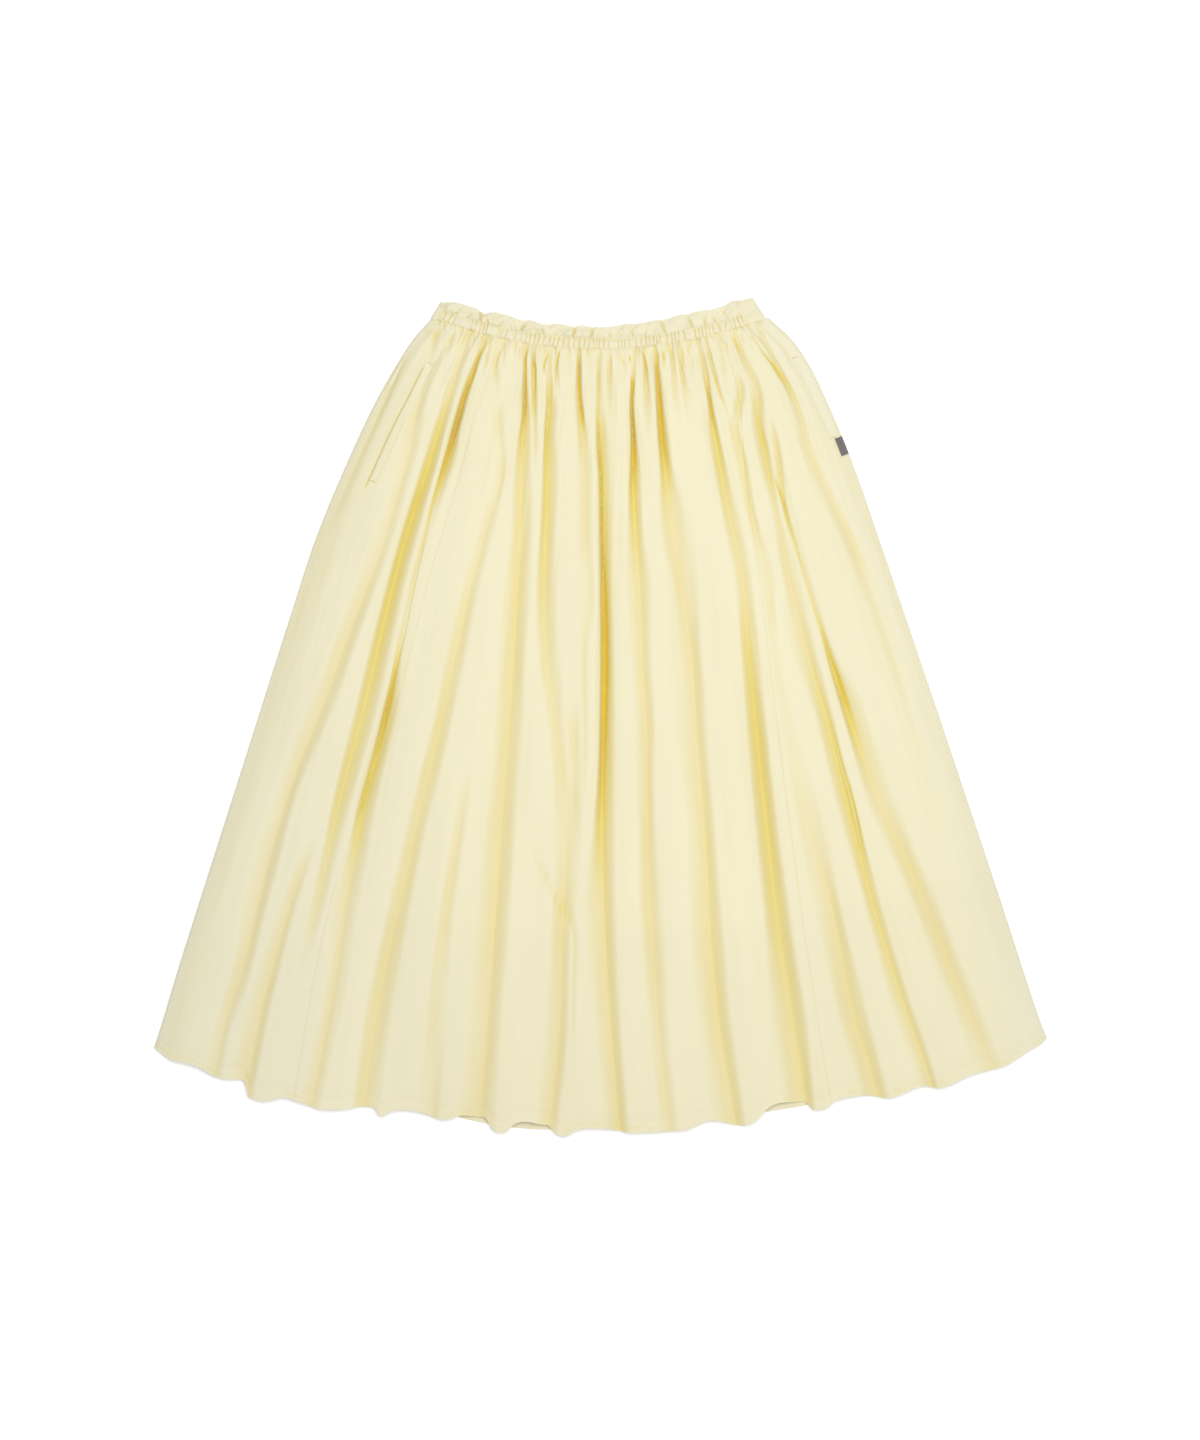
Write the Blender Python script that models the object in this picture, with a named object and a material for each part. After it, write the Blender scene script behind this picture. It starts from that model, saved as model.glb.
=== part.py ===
"""A shirred long skirt, laid flat on its back.

The skirt lies on the plane z = 0. The waist points to +Y, the wearer's left side to +X,
and the front faces up. The origin is on the plane, under the middle of the outline.

Tables are in millimetres. A place on a panel is given by two numbers:
  x     distance from the centre line, to the right in plan
  down  0 at the waist seam, 1 at the hem
Each layer of cloth is a wall with an outer and an inner face. The front is a gathered
layer whose grooves and rolls run from the waist seam towards the hem.
"""

import math
from collections import namedtuple

import bmesh
import bpy
import numpy as np

MM = 0.001

# ---------------------------------------------------------------------------
# Driving sizes
# ---------------------------------------------------------------------------
CLOTH = 1.3            # thickness of one wall of cloth
SEAM_GAP = 0.3         # between pieces that are sewn or lie together
SKIRT_FALL = 748.5     # from the ends of the waist seam down to the ends of the hem
WAIST_SEAM_Y = 409.8   # ends of the waist seam above the origin
EDGE_RADIUS = 2.6      # round turn of the cloth at both sides of the outline
EDGE_RISE = 62.0       # the upper layer climbs from the edge to its full height over this
RIGHT_WRAP = 4.1       # width of the back panel that shows on the front, at the right edge
HEM_TURN = 10.0        # height of the turned-up hem
HEM_EXTRA = 0.7        # extra thickness of the turned-up hem, on its inner face
HEM_FADE = 0.05        # the back's turned-up hem thins out over this share of its width, at the sides
CASING_HEIGHT = 10.0
FRILL_HEIGHT = 13.6
BAND_THICKNESS = 0.8   # stitched pocket edge, above the panel
BAND_WIDTH = 8.6
TAB_THICKNESS = 0.9
TAB_WIDTH = 7.8        # across the side seam
TAB_LENGTH = 18.0      # along it
TAB_START = 0.162      # the tab's upper end, as a share of the skirt
TAB_INSET = 0.4        # of the tab's outer side from the outline
TAB_SLACK = 0.2        # the tab bridges the hollows under it

# The waist: a casing with a frill above it, both tubes that lie flat.
WAIST_LEFT = -164.0    # ends of the tubes' straight stretch, along the seam
WAIST_RIGHT = 168.0
WAIST_RADIUS = 2.6     # round turn of the tubes at both ends
WAIST_CLOTH = 1.3
WAIST_TOP = 8.2        # height of the upper layer in the middle
WAIST_RISE = 30.0      # it climbs from the ends to that height over this
CASING_SWELL = 0.8     # the casing stands out round its elastic
FRILL_LIFT = 1.6       # the frill's waves stand above the casing by this
FRILL_START = 0.35     # share of the waves' height at the frill's seam
FRILL_FOLD_START = 0.6 # and of the folds' width
WAIST_FADE = 8.0       # ribs and waves die out over this, at both ends
LEFT_END_FOOT = -8.0   # the left end stands out sideways by this at the waist seam
LEFT_END_LEAN = -4.5   # the waist's ends lean sideways by this, up to the frill's edge
RIGHT_END_LEAN = -5.5
END_LEAN_RUN = 45.0    # and both die out over this

# Base colours, linear.
COTTON_COLOUR = (0.87, 0.81, 0.55)
TAB_COLOUR = (0.10, 0.10, 0.11)

# Sections across the skirt, from the waist seam to the hem.
#   fall   distance of the section's ends below the waist seam's ends
#   left, right   outline from the centre line
#   sag    how much lower the section's middle lies than its ends
#   top    height of the fold tops in the middle of the section
#   wrap   width of the back panel that shows on the front, at the left edge
Section = namedtuple("Section", "fall left right sag top wrap")
SECTIONS = (
    Section(0, -173.6, 173.6, 33, 8.6, 17),
    Section(21, -192.1, 196.2, 35, 11.0, 22),
    Section(46, -208.6, 213.7, 37, 13.4, 25),
    Section(83, -229.6, 231.9, 39, 14.6, 27),
    Section(145, -259.0, 258.0, 44, 15.2, 27),
    Section(227, -293.0, 286.8, 50, 15.2, 18),
    Section(309, -319.8, 314.7, 56, 14.8, 7),
    Section(474, -372.3, 370.3, 68, 13.8, 6),
    Section(639, -424.9, 424.9, 80, 12.2, 6),
    Section(748.5, -459.4, 459.4, 88.5, 10.6, 6),
)

# Seams that run down the front, as distances from the centre line at these stations.
STATIONS = (0.0, 0.07, 0.16, 0.30, 0.50, 0.75, 1.0)
LEFT_SEAM = (-112, -125, -141, -173, -214, -277, -316)
RIGHT_SEAM = (126, 141, 147, 162, 181, 207, 237)

# Folds of the front: grooves that run from the waist towards the hem, each by its own places.
#   down    how far down the skirt
#   x       the groove's distance from the centre line there
#   depth   its depth
#   left    width of its left side
#   right   width of its right side
At = namedtuple("At", "down x depth left right")
# sharp is 0 for a round trough and 1 for a crease between two rolls
Fold = namedtuple("Fold", "sharp places")
FOLDS = (
    Fold(0.3, (
        At(0.02, -158, 1.5, 6, 6), At(0.07, -179, 2.0, 9, 8), At(0.16, -196, 2.6, 11, 11),
        At(0.30, -227, 3.2, 16, 11), At(0.40, -256, 3.5, 15, 12), At(0.50, -283, 3.6, 17, 12),
        At(0.62, -318, 3.4, 18, 10), At(0.75, -346, 4.0, 22, 11), At(0.87, -369, 3.0, 13, 10),
        At(0.96, -391, 2.3, 12, 9), At(1.0, -397, 2.0, 12, 9),
    )),
    Fold(0.3, (
        At(0.66, -290, 0.0, 8, 8), At(0.75, -315, 2.2, 12, 8), At(0.87, -341, 3.2, 16, 10),
        At(0.96, -359, 3.6, 22, 10), At(1.0, -366, 3.4, 22, 10),
    )),
    Fold(0.5, (
        At(0.0, -134, 1.6, 5, 5), At(0.03, -142, 2.2, 6, 7), At(0.07, -152, 3.4, 7, 9),
        At(0.115, -163, 4.4, 8, 9), At(0.16, -173, 5.6, 8, 10), At(0.23, -191, 7.0, 6, 12),
        At(0.30, -207, 6.5, 6, 14), At(0.40, -226, 6.6, 8, 14), At(0.50, -244, 6.0, 9, 16),
        At(0.62, -268, 5.0, 8, 14), At(0.70, -281, 3.0, 8, 12), At(0.78, -295, 1.5, 8, 10),
        At(0.88, -318, 0.0, 8, 10),
    )),
    Fold(0.7, (
        At(0.0, -117, 2.5, 4, 4), At(0.03, -126, 3.2, 4, 4), At(0.07, -138, 5.6, 4, 6),
        At(0.115, -148, 8.0, 4, 6), At(0.16, -158, 6.2, 3, 11), At(0.23, -174, 1.4, 3, 8),
        At(0.30, -189, 1.0, 3, 5), At(0.40, -206, 1.2, 3, 5), At(0.45, -213, 3.5, 3, 9),
        At(0.50, -222, 7.6, 3, 14), At(0.56, -233, 7.2, 4, 14), At(0.62, -245, 6.2, 5, 15),
        At(0.68, -252, 4.4, 9, 15), At(0.75, -262, 3.4, 16, 15), At(0.87, -275, 2.8, 12, 12),
        At(1.0, -298, 2.8, 16, 12),
    )),
    Fold(0.4, (
        At(0.0, -98, 0.8, 5, 5), At(0.03, -108, 1.6, 5, 5), At(0.07, -107, 1.0, 8, 8),
        At(0.16, -101, 1.6, 12, 6), At(0.23, -115, 1.8, 9, 9), At(0.30, -130, 2.3, 11, 10),
        At(0.40, -148, 2.9, 11, 11), At(0.50, -165, 3.4, 9, 12), At(0.62, -187, 3.6, 12, 12),
        At(0.75, -209, 3.8, 12, 13), At(0.87, -229, 4.3, 14, 17), At(1.0, -245, 4.4, 12, 20),
    )),
    Fold(0.3, (
        At(0.52, -132, 0.0, 8, 8), At(0.62, -145, 1.5, 8, 8), At(0.75, -160, 2.0, 9, 10),
        At(0.87, -171, 2.0, 10, 16), At(1.0, -173, 2.1, 18, 9),
    )),
    Fold(0.5, (
        At(0.0, -78, 1.5, 3, 3), At(0.03, -78, 2.4, 3, 3), At(0.07, -78, 4.6, 3, 5),
        At(0.115, -80, 4.8, 4, 14), At(0.16, -81, 4.2, 10, 14), At(0.23, -82, 4.2, 11, 14),
        At(0.30, -85, 5.0, 15, 15), At(0.40, -89, 5.2, 18, 13), At(0.50, -95, 5.2, 17, 17),
        At(0.62, -102, 5.4, 20, 16), At(0.75, -109, 5.5, 26, 16), At(0.87, -116, 5.0, 30, 15),
        At(1.0, -124, 4.8, 26, 18),
    )),
    Fold(0.5, (
        At(0.0, -52, 1.0, 3, 4), At(0.03, -53, 1.4, 3, 4), At(0.07, -53, 4.6, 4, 10),
        At(0.115, -55, 5.0, 4, 11), At(0.16, -55, 5.0, 6, 13), At(0.23, -57, 4.3, 6, 13),
        At(0.30, -58, 4.2, 9, 14), At(0.40, -54, 3.4, 12, 14), At(0.50, -44, 2.6, 10, 13),
        At(0.62, -34, 3.2, 15, 17), At(0.75, -40, 3.8, 12, 15), At(0.87, -42, 3.8, 20, 11),
        At(1.0, -53, 3.3, 15, 10),
    )),
    Fold(0.3, (
        At(0.44, -30, 0.0, 10, 12), At(0.50, -28, 2.3, 10, 13), At(0.57, -27, 1.6, 10, 12),
        At(0.64, -26, 0.0, 10, 12),
    )),
    Fold(0.6, (
        At(0.0, -22, 3.0, 3, 3), At(0.03, -22, 4.4, 4, 4), At(0.07, -21, 4.4, 6, 4),
        At(0.115, -19, 2.4, 6, 8), At(0.16, -16, 2.0, 10, 9), At(0.23, -16, 1.8, 10, 9),
        At(0.30, -12, 1.2, 8, 8), At(0.40, -17, 0.9, 6, 7), At(0.50, -17, 0.8, 5, 6),
        At(0.60, -17, 0.0, 5, 6),
    )),
    Fold(0.6, (
        At(0.0, -2, 1.2, 3, 4), At(0.03, -2, 2.2, 3, 4), At(0.07, -2, 2.4, 5, 8),
        At(0.115, -2, 5.0, 3, 14), At(0.16, 0, 5.2, 3, 15), At(0.23, 1, 6.6, 3, 13),
        At(0.30, 2, 7.8, 3, 11), At(0.40, 3, 8.6, 4, 12), At(0.50, 2, 8.6, 4, 14),
        At(0.62, 1, 7.0, 11, 15), At(0.75, 5, 5.6, 26, 13), At(0.87, 11, 4.6, 18, 12),
        At(1.0, 20, 4.6, 18, 11),
    )),
    Fold(0.5, (
        At(0.0, 36, 1.2, 3, 3), At(0.03, 34, 2.0, 3, 3), At(0.07, 32, 4.6, 3, 3),
        At(0.115, 33, 6.5, 3, 5), At(0.16, 33, 5.2, 4, 10), At(0.23, 36, 4.3, 10, 9),
        At(0.30, 40, 4.2, 17, 13), At(0.40, 43, 3.3, 13, 11), At(0.50, 48, 3.5, 14, 9),
        At(0.62, 48, 3.4, 11, 11), At(0.75, 53, 3.9, 13, 16), At(0.87, 60, 2.5, 13, 12),
        At(1.0, 71, 2.1, 12, 11),
    )),
    Fold(0.5, (
        At(0.0, 56, 2.8, 3, 3), At(0.03, 58, 4.0, 4, 4), At(0.07, 60, 6.0, 4, 5),
        At(0.115, 62, 6.6, 4, 9), At(0.16, 66, 4.9, 6, 10), At(0.23, 73, 4.8, 13, 24),
        At(0.30, 82, 4.6, 14, 22), At(0.40, 94, 4.7, 25, 11), At(0.50, 99, 5.0, 26, 12),
        At(0.62, 107, 5.0, 22, 12), At(0.75, 113, 5.5, 26, 14), At(0.87, 122, 5.6, 25, 14),
        At(1.0, 139, 5.0, 26, 12),
    )),
    Fold(0.5, (
        At(0.0, 100, 1.8, 3, 3), At(0.03, 106, 2.4, 4, 4), At(0.07, 111, 3.2, 3, 4),
        At(0.115, 116, 3.8, 6, 6), At(0.16, 122, 4.0, 7, 8), At(0.23, 133, 3.5, 8, 11),
        At(0.30, 145, 3.1, 10, 11), At(0.40, 152, 5.0, 9, 12), At(0.50, 160, 6.6, 11, 12),
        At(0.62, 170, 7.0, 13, 12), At(0.75, 182, 8.0, 15, 15), At(0.87, 197, 7.4, 24, 15),
        At(1.0, 210, 7.0, 25, 12),
    )),
    Fold(0.4, (
        At(0.04, 138, 0.0, 6, 6), At(0.07, 144, 2.4, 6, 6), At(0.115, 139, 2.5, 10, 7),
        At(0.16, 146, 2.6, 11, 6), At(0.23, 155, 1.8, 6, 7), At(0.30, 170, 2.0, 10, 8),
        At(0.40, 178, 0.9, 6, 6), At(0.50, 191, 0.9, 8, 10), At(0.62, 211, 2.4, 14, 20),
        At(0.75, 239, 3.6, 20, 9), At(0.87, 257, 5.2, 17, 15), At(1.0, 285, 5.6, 20, 14),
    )),
    Fold(0.6, (
        At(0.0, 138, 1.6, 4, 4), At(0.03, 145, 2.6, 4, 7), At(0.07, 160, 2.9, 8, 7),
        At(0.115, 162, 3.8, 9, 8), At(0.16, 169, 3.8, 9, 7), At(0.23, 180, 1.6, 6, 5),
        At(0.30, 191, 2.9, 9, 11), At(0.40, 209, 3.5, 18, 10), At(0.50, 230, 4.5, 11, 9),
        At(0.62, 254, 5.2, 12, 6), At(0.75, 279, 4.0, 9, 9), At(0.87, 307, 3.7, 13, 8),
        At(1.0, 341, 3.4, 16, 8),
    )),
    Fold(0.6, (
        At(0.10, 172, 0.0, 4, 4), At(0.16, 182, 2.0, 5, 5), At(0.23, 189, 1.8, 3, 4),
        At(0.30, 205, 1.0, 4, 4), At(0.40, 228, 1.8, 3, 4), At(0.45, 239, 4.5, 4, 12),
        At(0.50, 251, 6.6, 5, 20), At(0.56, 267, 5.4, 9, 20), At(0.62, 284, 4.4, 15, 17),
        At(0.75, 327, 3.9, 13, 13), At(0.87, 362, 3.9, 13, 14), At(1.0, 403, 3.3, 20, 17),
    )),
    Fold(0.5, (
        At(0.0, 160, 1.0, 4, 4), At(0.04, 176, 2.0, 4, 4), At(0.07, 188, 3.0, 4, 5),
        At(0.115, 203, 2.2, 7, 6), At(0.16, 212, 2.0, 9, 8), At(0.23, 235, 2.2, 10, 8),
        At(0.30, 259, 2.2, 10, 8), At(0.40, 287, 1.8, 11, 15), At(0.50, 311, 1.0, 8, 8),
        At(0.60, 335, 0.0, 8, 8),
    )),
    Fold(0.3, (
        At(0.04, -197, 0.0, 5, 5), At(0.07, -208, 1.2, 5, 5), At(0.115, -223, 1.4, 7, 5),
        At(0.16, -238, 1.0, 7, 6), At(0.23, -262, 0.8, 8, 8), At(0.30, -285, 0.0, 8, 8),
    )),
    Fold(0.5, (
        At(0.62, -72, 0.0, 4, 6), At(0.65, -66, 0.8, 4, 6), At(0.70, -46, 1.0, 4, 6),
        At(0.75, -27, 1.2, 5, 6), At(0.83, -29, 0.8, 5, 6), At(0.90, -30, 0.0, 5, 6),
    )),
)

# Short gathers between the main folds, from the waist seam down.
#   x       distance from the centre line just below the seam
#   end     and where it runs out
#   depth   its depth
#   half    half its width
#   run     how far down it runs
Gather = namedtuple("Gather", "x end depth half run")
GATHERS = (
    Gather(-166, -184, 1.8, 5, 0.09), Gather(-150, -166, 1.2, 3, 0.07), Gather(-113, -124, 1.8, 3, 0.07),
    Gather(-99, -101, 1.4, 3, 0.05), Gather(-88, -90, 1.2, 3, 0.05), Gather(-69, -67, 4.0, 4, 0.21),
    Gather(-57, -60, 1.8, 3, 0.06), Gather(-47, -42, 2.8, 3, 0.08), Gather(-33, -31, 1.2, 3, 0.05),
    Gather(-11, -10, 1.3, 3, 0.05), Gather(9, 8, 3.0, 5, 0.15), Gather(25, 23, 1.4, 4, 0.06),
    Gather(45, 52, 3.2, 4, 0.16), Gather(64, 70, 1.4, 3, 0.06), Gather(73, 81, 2.2, 4, 0.14),
    Gather(80, 94, 2.6, 3, 0.13), Gather(91, 97, 1.2, 3, 0.06), Gather(108, 132, 3.4, 3, 0.12),
    Gather(122, 136, 1.6, 4, 0.12), Gather(134, 142, 1.5, 3, 0.05), Gather(152, 160, 1.0, 3, 0.05),
    Gather(163, 172, 1.2, 3, 0.06), Gather(182, 206, 1.1, 5, 0.10),
)
GATHER_START = 0.5         # share of its depth that a gather has right at the seam
GATHER_OPEN = 0.03         # it has its full depth from here down
GATHER_SHARP = 0.6
FLOOR_HARDNESS = 6         # how sharply a groove flattens where it meets the back panel
FOLD_WIDTH_LEAST = 1.5     # of each side of a groove, in columns of the panels' meshes

# Lower edge of the front, as a drop below the section curve, from left to right.
# Fold ends stand out downwards, and a lapped fold makes a step.
EdgePoint = namedtuple("EdgePoint", "x drop")
FRONT_HEM = (
    EdgePoint(-459, 2), EdgePoint(-440, 7.4), EdgePoint(-429, 5.6), EdgePoint(-419, 4.4),
    EdgePoint(-409, 5.3), EdgePoint(-397, 8.6), EdgePoint(-383, 7), EdgePoint(-367, 3),
    EdgePoint(-361, 19), EdgePoint(-345, 18), EdgePoint(-322, 8), EdgePoint(-290, 11), EdgePoint(-272, 8),
    EdgePoint(-245, -1), EdgePoint(-233, -3), EdgePoint(-226, 5), EdgePoint(-213, -3), EdgePoint(-190, -7),
    EdgePoint(-162, -2), EdgePoint(-140, -9), EdgePoint(-120, -9), EdgePoint(-110, 3), EdgePoint(-99, 4.5),
    EdgePoint(-90, -4), EdgePoint(-56, -6), EdgePoint(-46, 2), EdgePoint(-37, 4.7), EdgePoint(-24, -2),
    EdgePoint(0, -4), EdgePoint(34, 1), EdgePoint(85, 1), EdgePoint(112, -7), EdgePoint(147, 2),
    EdgePoint(160, -1), EdgePoint(172, -12), EdgePoint(208, -13), EdgePoint(221, -2), EdgePoint(233, -2.5),
    EdgePoint(243, -9), EdgePoint(272, -7), EdgePoint(299, 2), EdgePoint(328, -2), EdgePoint(352, 6),
    EdgePoint(383, 2), EdgePoint(412, 4.5), EdgePoint(428, 1.4), EdgePoint(442, -2.4), EdgePoint(453, -4),
    EdgePoint(459, -8),
)
HEM_SHAPE_START = 0.88     # above this place a panel isn't moved by its lower edge
# Lower edge of the back, which shows below the front in three places.
BACK_HEM = (
    EdgePoint(-459, 2), EdgePoint(-450, 3.6), EdgePoint(-436, 4), EdgePoint(-380, -3), EdgePoint(-300, 0),
    EdgePoint(-200, -12), EdgePoint(-160, -8), EdgePoint(-132, -4), EdgePoint(-82, -0.5), EdgePoint(-50, -1),
    EdgePoint(-10, -8), EdgePoint(85, -6), EdgePoint(120, -11), EdgePoint(180, -8), EdgePoint(208, -8),
    EdgePoint(260, -14), EdgePoint(330, -7), EdgePoint(400, -4), EdgePoint(428, -1), EdgePoint(442, -3),
    EdgePoint(453, -4.2), EdgePoint(459, -8),
)

# Folds of the frill: grooves between its ruffle waves.
#   x       distance from the centre line at the frill's seam
#   depth   the groove's depth
#   lean    how far it moves to the right up to the free edge
#   half    half its width there
FrillFold = namedtuple("FrillFold", "x depth lean half")
FRILL_FOLDS = (
    FrillFold(-159, 1.8, -1.5, 3.5), FrillFold(-149, 2.0, 2.0, 4.0), FrillFold(-139, 1.6, 3.0, 4.0),
    FrillFold(-126, 3.0, -2.0, 4.0), FrillFold(-118, 2.2, -5.0, 4.0), FrillFold(-107, 2.2, 2.5, 5.0),
    FrillFold(-91, 1.2, -3.0, 4.5), FrillFold(-85, 3.0, 3.5, 4.5), FrillFold(-70, 1.0, 2.0, 6.0),
    FrillFold(-60, 2.4, -3.0, 5.0), FrillFold(-48, 1.4, 2.0, 4.0), FrillFold(-30, 3.4, 1.5, 4.5),
    FrillFold(-19, 1.0, -2.0, 4.0), FrillFold(-10, 3.4, 0.5, 4.5), FrillFold(1, 1.0, 2.0, 4.5),
    FrillFold(11, 2.6, -2.5, 5.0), FrillFold(22, 1.1, 2.0, 4.0), FrillFold(35, 2.6, -2.0, 5.0),
    FrillFold(47, 2.4, 2.5, 4.5), FrillFold(57, 1.0, -1.0, 4.0), FrillFold(69, 2.8, -3.0, 5.0),
    FrillFold(81, 1.0, 2.5, 4.0), FrillFold(90, 1.4, 1.0, 4.0), FrillFold(98, 2.7, -2.5, 4.5),
    FrillFold(110, 2.4, 1.5, 4.5), FrillFold(122, 2.3, -1.5, 4.0), FrillFold(135, 1.8, -2.5, 4.5),
    FrillFold(149, 1.2, 1.5, 4.0),
)
# Free edge of the frill, as a rise above its plain height.
EdgeRise = namedtuple("EdgeRise", "x rise")
FRILL_EDGE = (
    EdgeRise(-166, -2.0), EdgeRise(-161, -2.2), EdgeRise(-150, 0.2), EdgeRise(-138, 0.6),
    EdgeRise(-130, -0.6), EdgeRise(-125, -3.4), EdgeRise(-119, -0.6), EdgeRise(-100, 0.8),
    EdgeRise(-87, -0.8), EdgeRise(-74, 0.2), EdgeRise(-60, -1.8), EdgeRise(-44, 0.6),
    EdgeRise(-30, -0.9), EdgeRise(-18, 0.6), EdgeRise(-9, -0.9), EdgeRise(12, -0.4),
    EdgeRise(28, 1.6), EdgeRise(36, 0.8), EdgeRise(60, 2.6), EdgeRise(69, 2.0), EdgeRise(84, 3.8),
    EdgeRise(97, 3.2), EdgeRise(104, 4.0), EdgeRise(112, 3.2), EdgeRise(122, 2.0), EdgeRise(135, 2.0),
    EdgeRise(148, 3.6), EdgeRise(160, 0.6), EdgeRise(168, 0.2),
)
FRILL_SHARP = 0.6          # as for the folds of the front
CASING_RIBS = 64           # shirred ribs across the front of the casing
RIB_DEPTH = 0.9

# ---------------------------------------------------------------------------
# Mesh density
# ---------------------------------------------------------------------------
ROWS = (0.0, 0.013, 0.030, 0.055, 0.095, 0.150, 0.228, 0.330, 0.450, 0.580, 0.720, 0.860, 0.983, 0.987, 1.0)
LEFT_POCKET_ROWS = (3, 6)  # the pocket mouths run between these rows
RIGHT_POCKET_ROWS = (3, 5)
LEFT_COLUMNS = 28
CENTRE_COLUMNS = 92
RIGHT_COLUMNS = 36
BACK_COLUMNS = 46
WRAP_COLUMNS = 5
TURN_COLUMNS = 4
OFFSET_STEPS = 7           # places that the cloth's thickness is tested at
CASING_BACK_COLUMNS = 20
CASING_ROWS = 2
FRILL_COLUMNS = 112
FRILL_ROWS = 3


# ---------------------------------------------------------------------------
# Curves through tables
# ---------------------------------------------------------------------------
def smooth_curve(knots, values, at):
    """Cubic through the table's points, with slopes taken from their neighbours."""
    knots = np.asarray(knots, float)
    values = np.asarray(values, float)
    at = np.clip(np.asarray(at, float), knots[0], knots[-1])
    steps = np.diff(knots)
    secants = np.diff(values) / steps
    slopes = np.empty_like(values)
    slopes[1:-1] = (secants[:-1] * steps[1:] + secants[1:] * steps[:-1]) / (steps[1:] + steps[:-1])
    slopes[0] = secants[0]
    slopes[-1] = secants[-1]
    turning = secants[:-1] * secants[1:] <= 0
    slopes[1:-1] = np.where(turning, 0.0, slopes[1:-1])
    cell = np.clip(np.searchsorted(knots, at, side="right") - 1, 0, len(steps) - 1)
    t = (at - knots[cell]) / steps[cell]
    rise = (3 - 2 * t) * t * t
    start_slope = slopes[cell] * steps[cell]
    end_slope = slopes[cell + 1] * steps[cell]
    bend = start_slope * (t - 2 * t * t + t ** 3) + end_slope * (t ** 3 - t * t)
    return values[cell] + (values[cell + 1] - values[cell]) * rise + bend


def section_value(column, down):
    falls = [row.fall for row in SECTIONS]
    return smooth_curve(falls, [getattr(row, column) for row in SECTIONS], np.asarray(down) * SKIRT_FALL)


def ease(t):
    t = np.clip(t, 0.0, 1.0)
    return t * t * (3 - 2 * t)


def mix(start, end, t):
    return start + (end - start) * t


# ---------------------------------------------------------------------------
# The skirt's plan and the height of its upper layer
# ---------------------------------------------------------------------------
def plan_y(x, down, hem=None):
    """Y of a point of a panel; hem is the table of the panel's lower edge."""
    left = section_value("left", down)
    right = section_value("right", down)
    across = (x - left) / (right - left)
    bow = 1 - (2 * across - 1) ** 2
    y = WAIST_SEAM_Y - down * SKIRT_FALL - section_value("sag", down) * bow
    if hem is not None:
        drop = smooth_curve([p.x for p in hem], [p.drop for p in hem], x)
        y = y - drop * ease((down - HEM_SHAPE_START) / (1 - HEM_SHAPE_START))
    return y


def groove(distance, left, right, sharp):
    """1 in the groove and 0 past its two widths."""
    width = np.where(distance < 0, left, right)
    t = np.clip(1 - np.abs(distance) / width, 0.0, 1.0)
    return mix(ease(t), t * t, sharp)


def along_fold(fold, column, down):
    return smooth_curve([at.down for at in fold.places], [getattr(at, column) for at in fold.places], down)


def least_width(down):
    """Narrowest side of a groove that the front's columns can follow."""
    columns = LEFT_COLUMNS + CENTRE_COLUMNS + RIGHT_COLUMNS
    return FOLD_WIDTH_LEAST * (section_value("right", down) - section_value("left", down)) / columns


def fold_depth(x, down):
    """Depth of the grooves and gathers below the fold tops."""
    depth = np.zeros(np.broadcast(x, down).shape)
    least = least_width(down)
    for fold in FOLDS:
        here = along_fold(fold, "depth", down) * (down >= fold.places[0].down)
        left = np.maximum(along_fold(fold, "left", down), least)
        right = np.maximum(along_fold(fold, "right", down), least)
        depth = depth + here * groove(x - along_fold(fold, "x", down), left, right, fold.sharp)
    for gather in GATHERS:
        share = np.clip(down / gather.run, 0.0, 1.0)
        start = mix(GATHER_START, 1.0, ease(down / GATHER_OPEN))
        here = gather.depth * start * (1 - ease(share))
        half = np.maximum(gather.half * mix(0.8, 1.8, share), least)
        depth = depth + here * groove(x - mix(gather.x, gather.end, share), half, half, GATHER_SHARP)
    return depth


def hem_fold(down):
    """Extra inner thickness where the hem is turned up."""
    return np.where(np.asarray(down) >= 1 - HEM_TURN / SKIRT_FALL, HEM_EXTRA, 0.0)


def upper_height(x, down):
    """Outer height of the upper layer of cloth."""
    left = section_value("left", down) + EDGE_RADIUS
    right = section_value("right", down) - EDGE_RADIUS
    inward = np.clip(np.minimum(x - left, right - x) / EDGE_RISE, 0.0, 1.0)
    edge = 2 * EDGE_RADIUS
    crest = edge + (section_value("top", down) - edge) * (1 - (1 - inward) ** 2)
    above_hem = ease((down - HEM_SHAPE_START) / (1 - HEM_SHAPE_START - HEM_TURN / SKIRT_FALL))
    lowest = 2 * CLOTH + SEAM_GAP + 2 * HEM_EXTRA * above_hem
    room = np.maximum(crest - lowest, SEAM_GAP)
    depth = fold_depth(x, down)
    limited = depth / (1 + (depth / room) ** FLOOR_HARDNESS) ** (1 / FLOOR_HARDNESS)
    return crest - limited


def under_height(x, down):
    """Inner height of the upper layer: every point is at least the cloth's thickness away."""
    lowest = upper_height(x, down) - CLOTH
    for share in np.linspace(-1.0, 1.0, OFFSET_STEPS):
        aside = share * CLOTH
        below = math.sqrt(CLOTH ** 2 - aside ** 2)
        lowest = np.minimum(lowest, upper_height(x + aside, down) - below)
    return lowest


# ---------------------------------------------------------------------------
# Solids
# ---------------------------------------------------------------------------
def material(name, colour, roughness):
    cloth = bpy.data.materials.new(name)
    cloth.use_nodes = True
    shader = cloth.node_tree.nodes["Principled BSDF"]
    shader.inputs["Base Color"].default_value = (*colour, 1.0)
    shader.inputs["Roughness"].default_value = roughness
    shader.inputs["Metallic"].default_value = 0.0
    cloth.diffuse_color = (*colour, 1.0)
    return cloth


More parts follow.
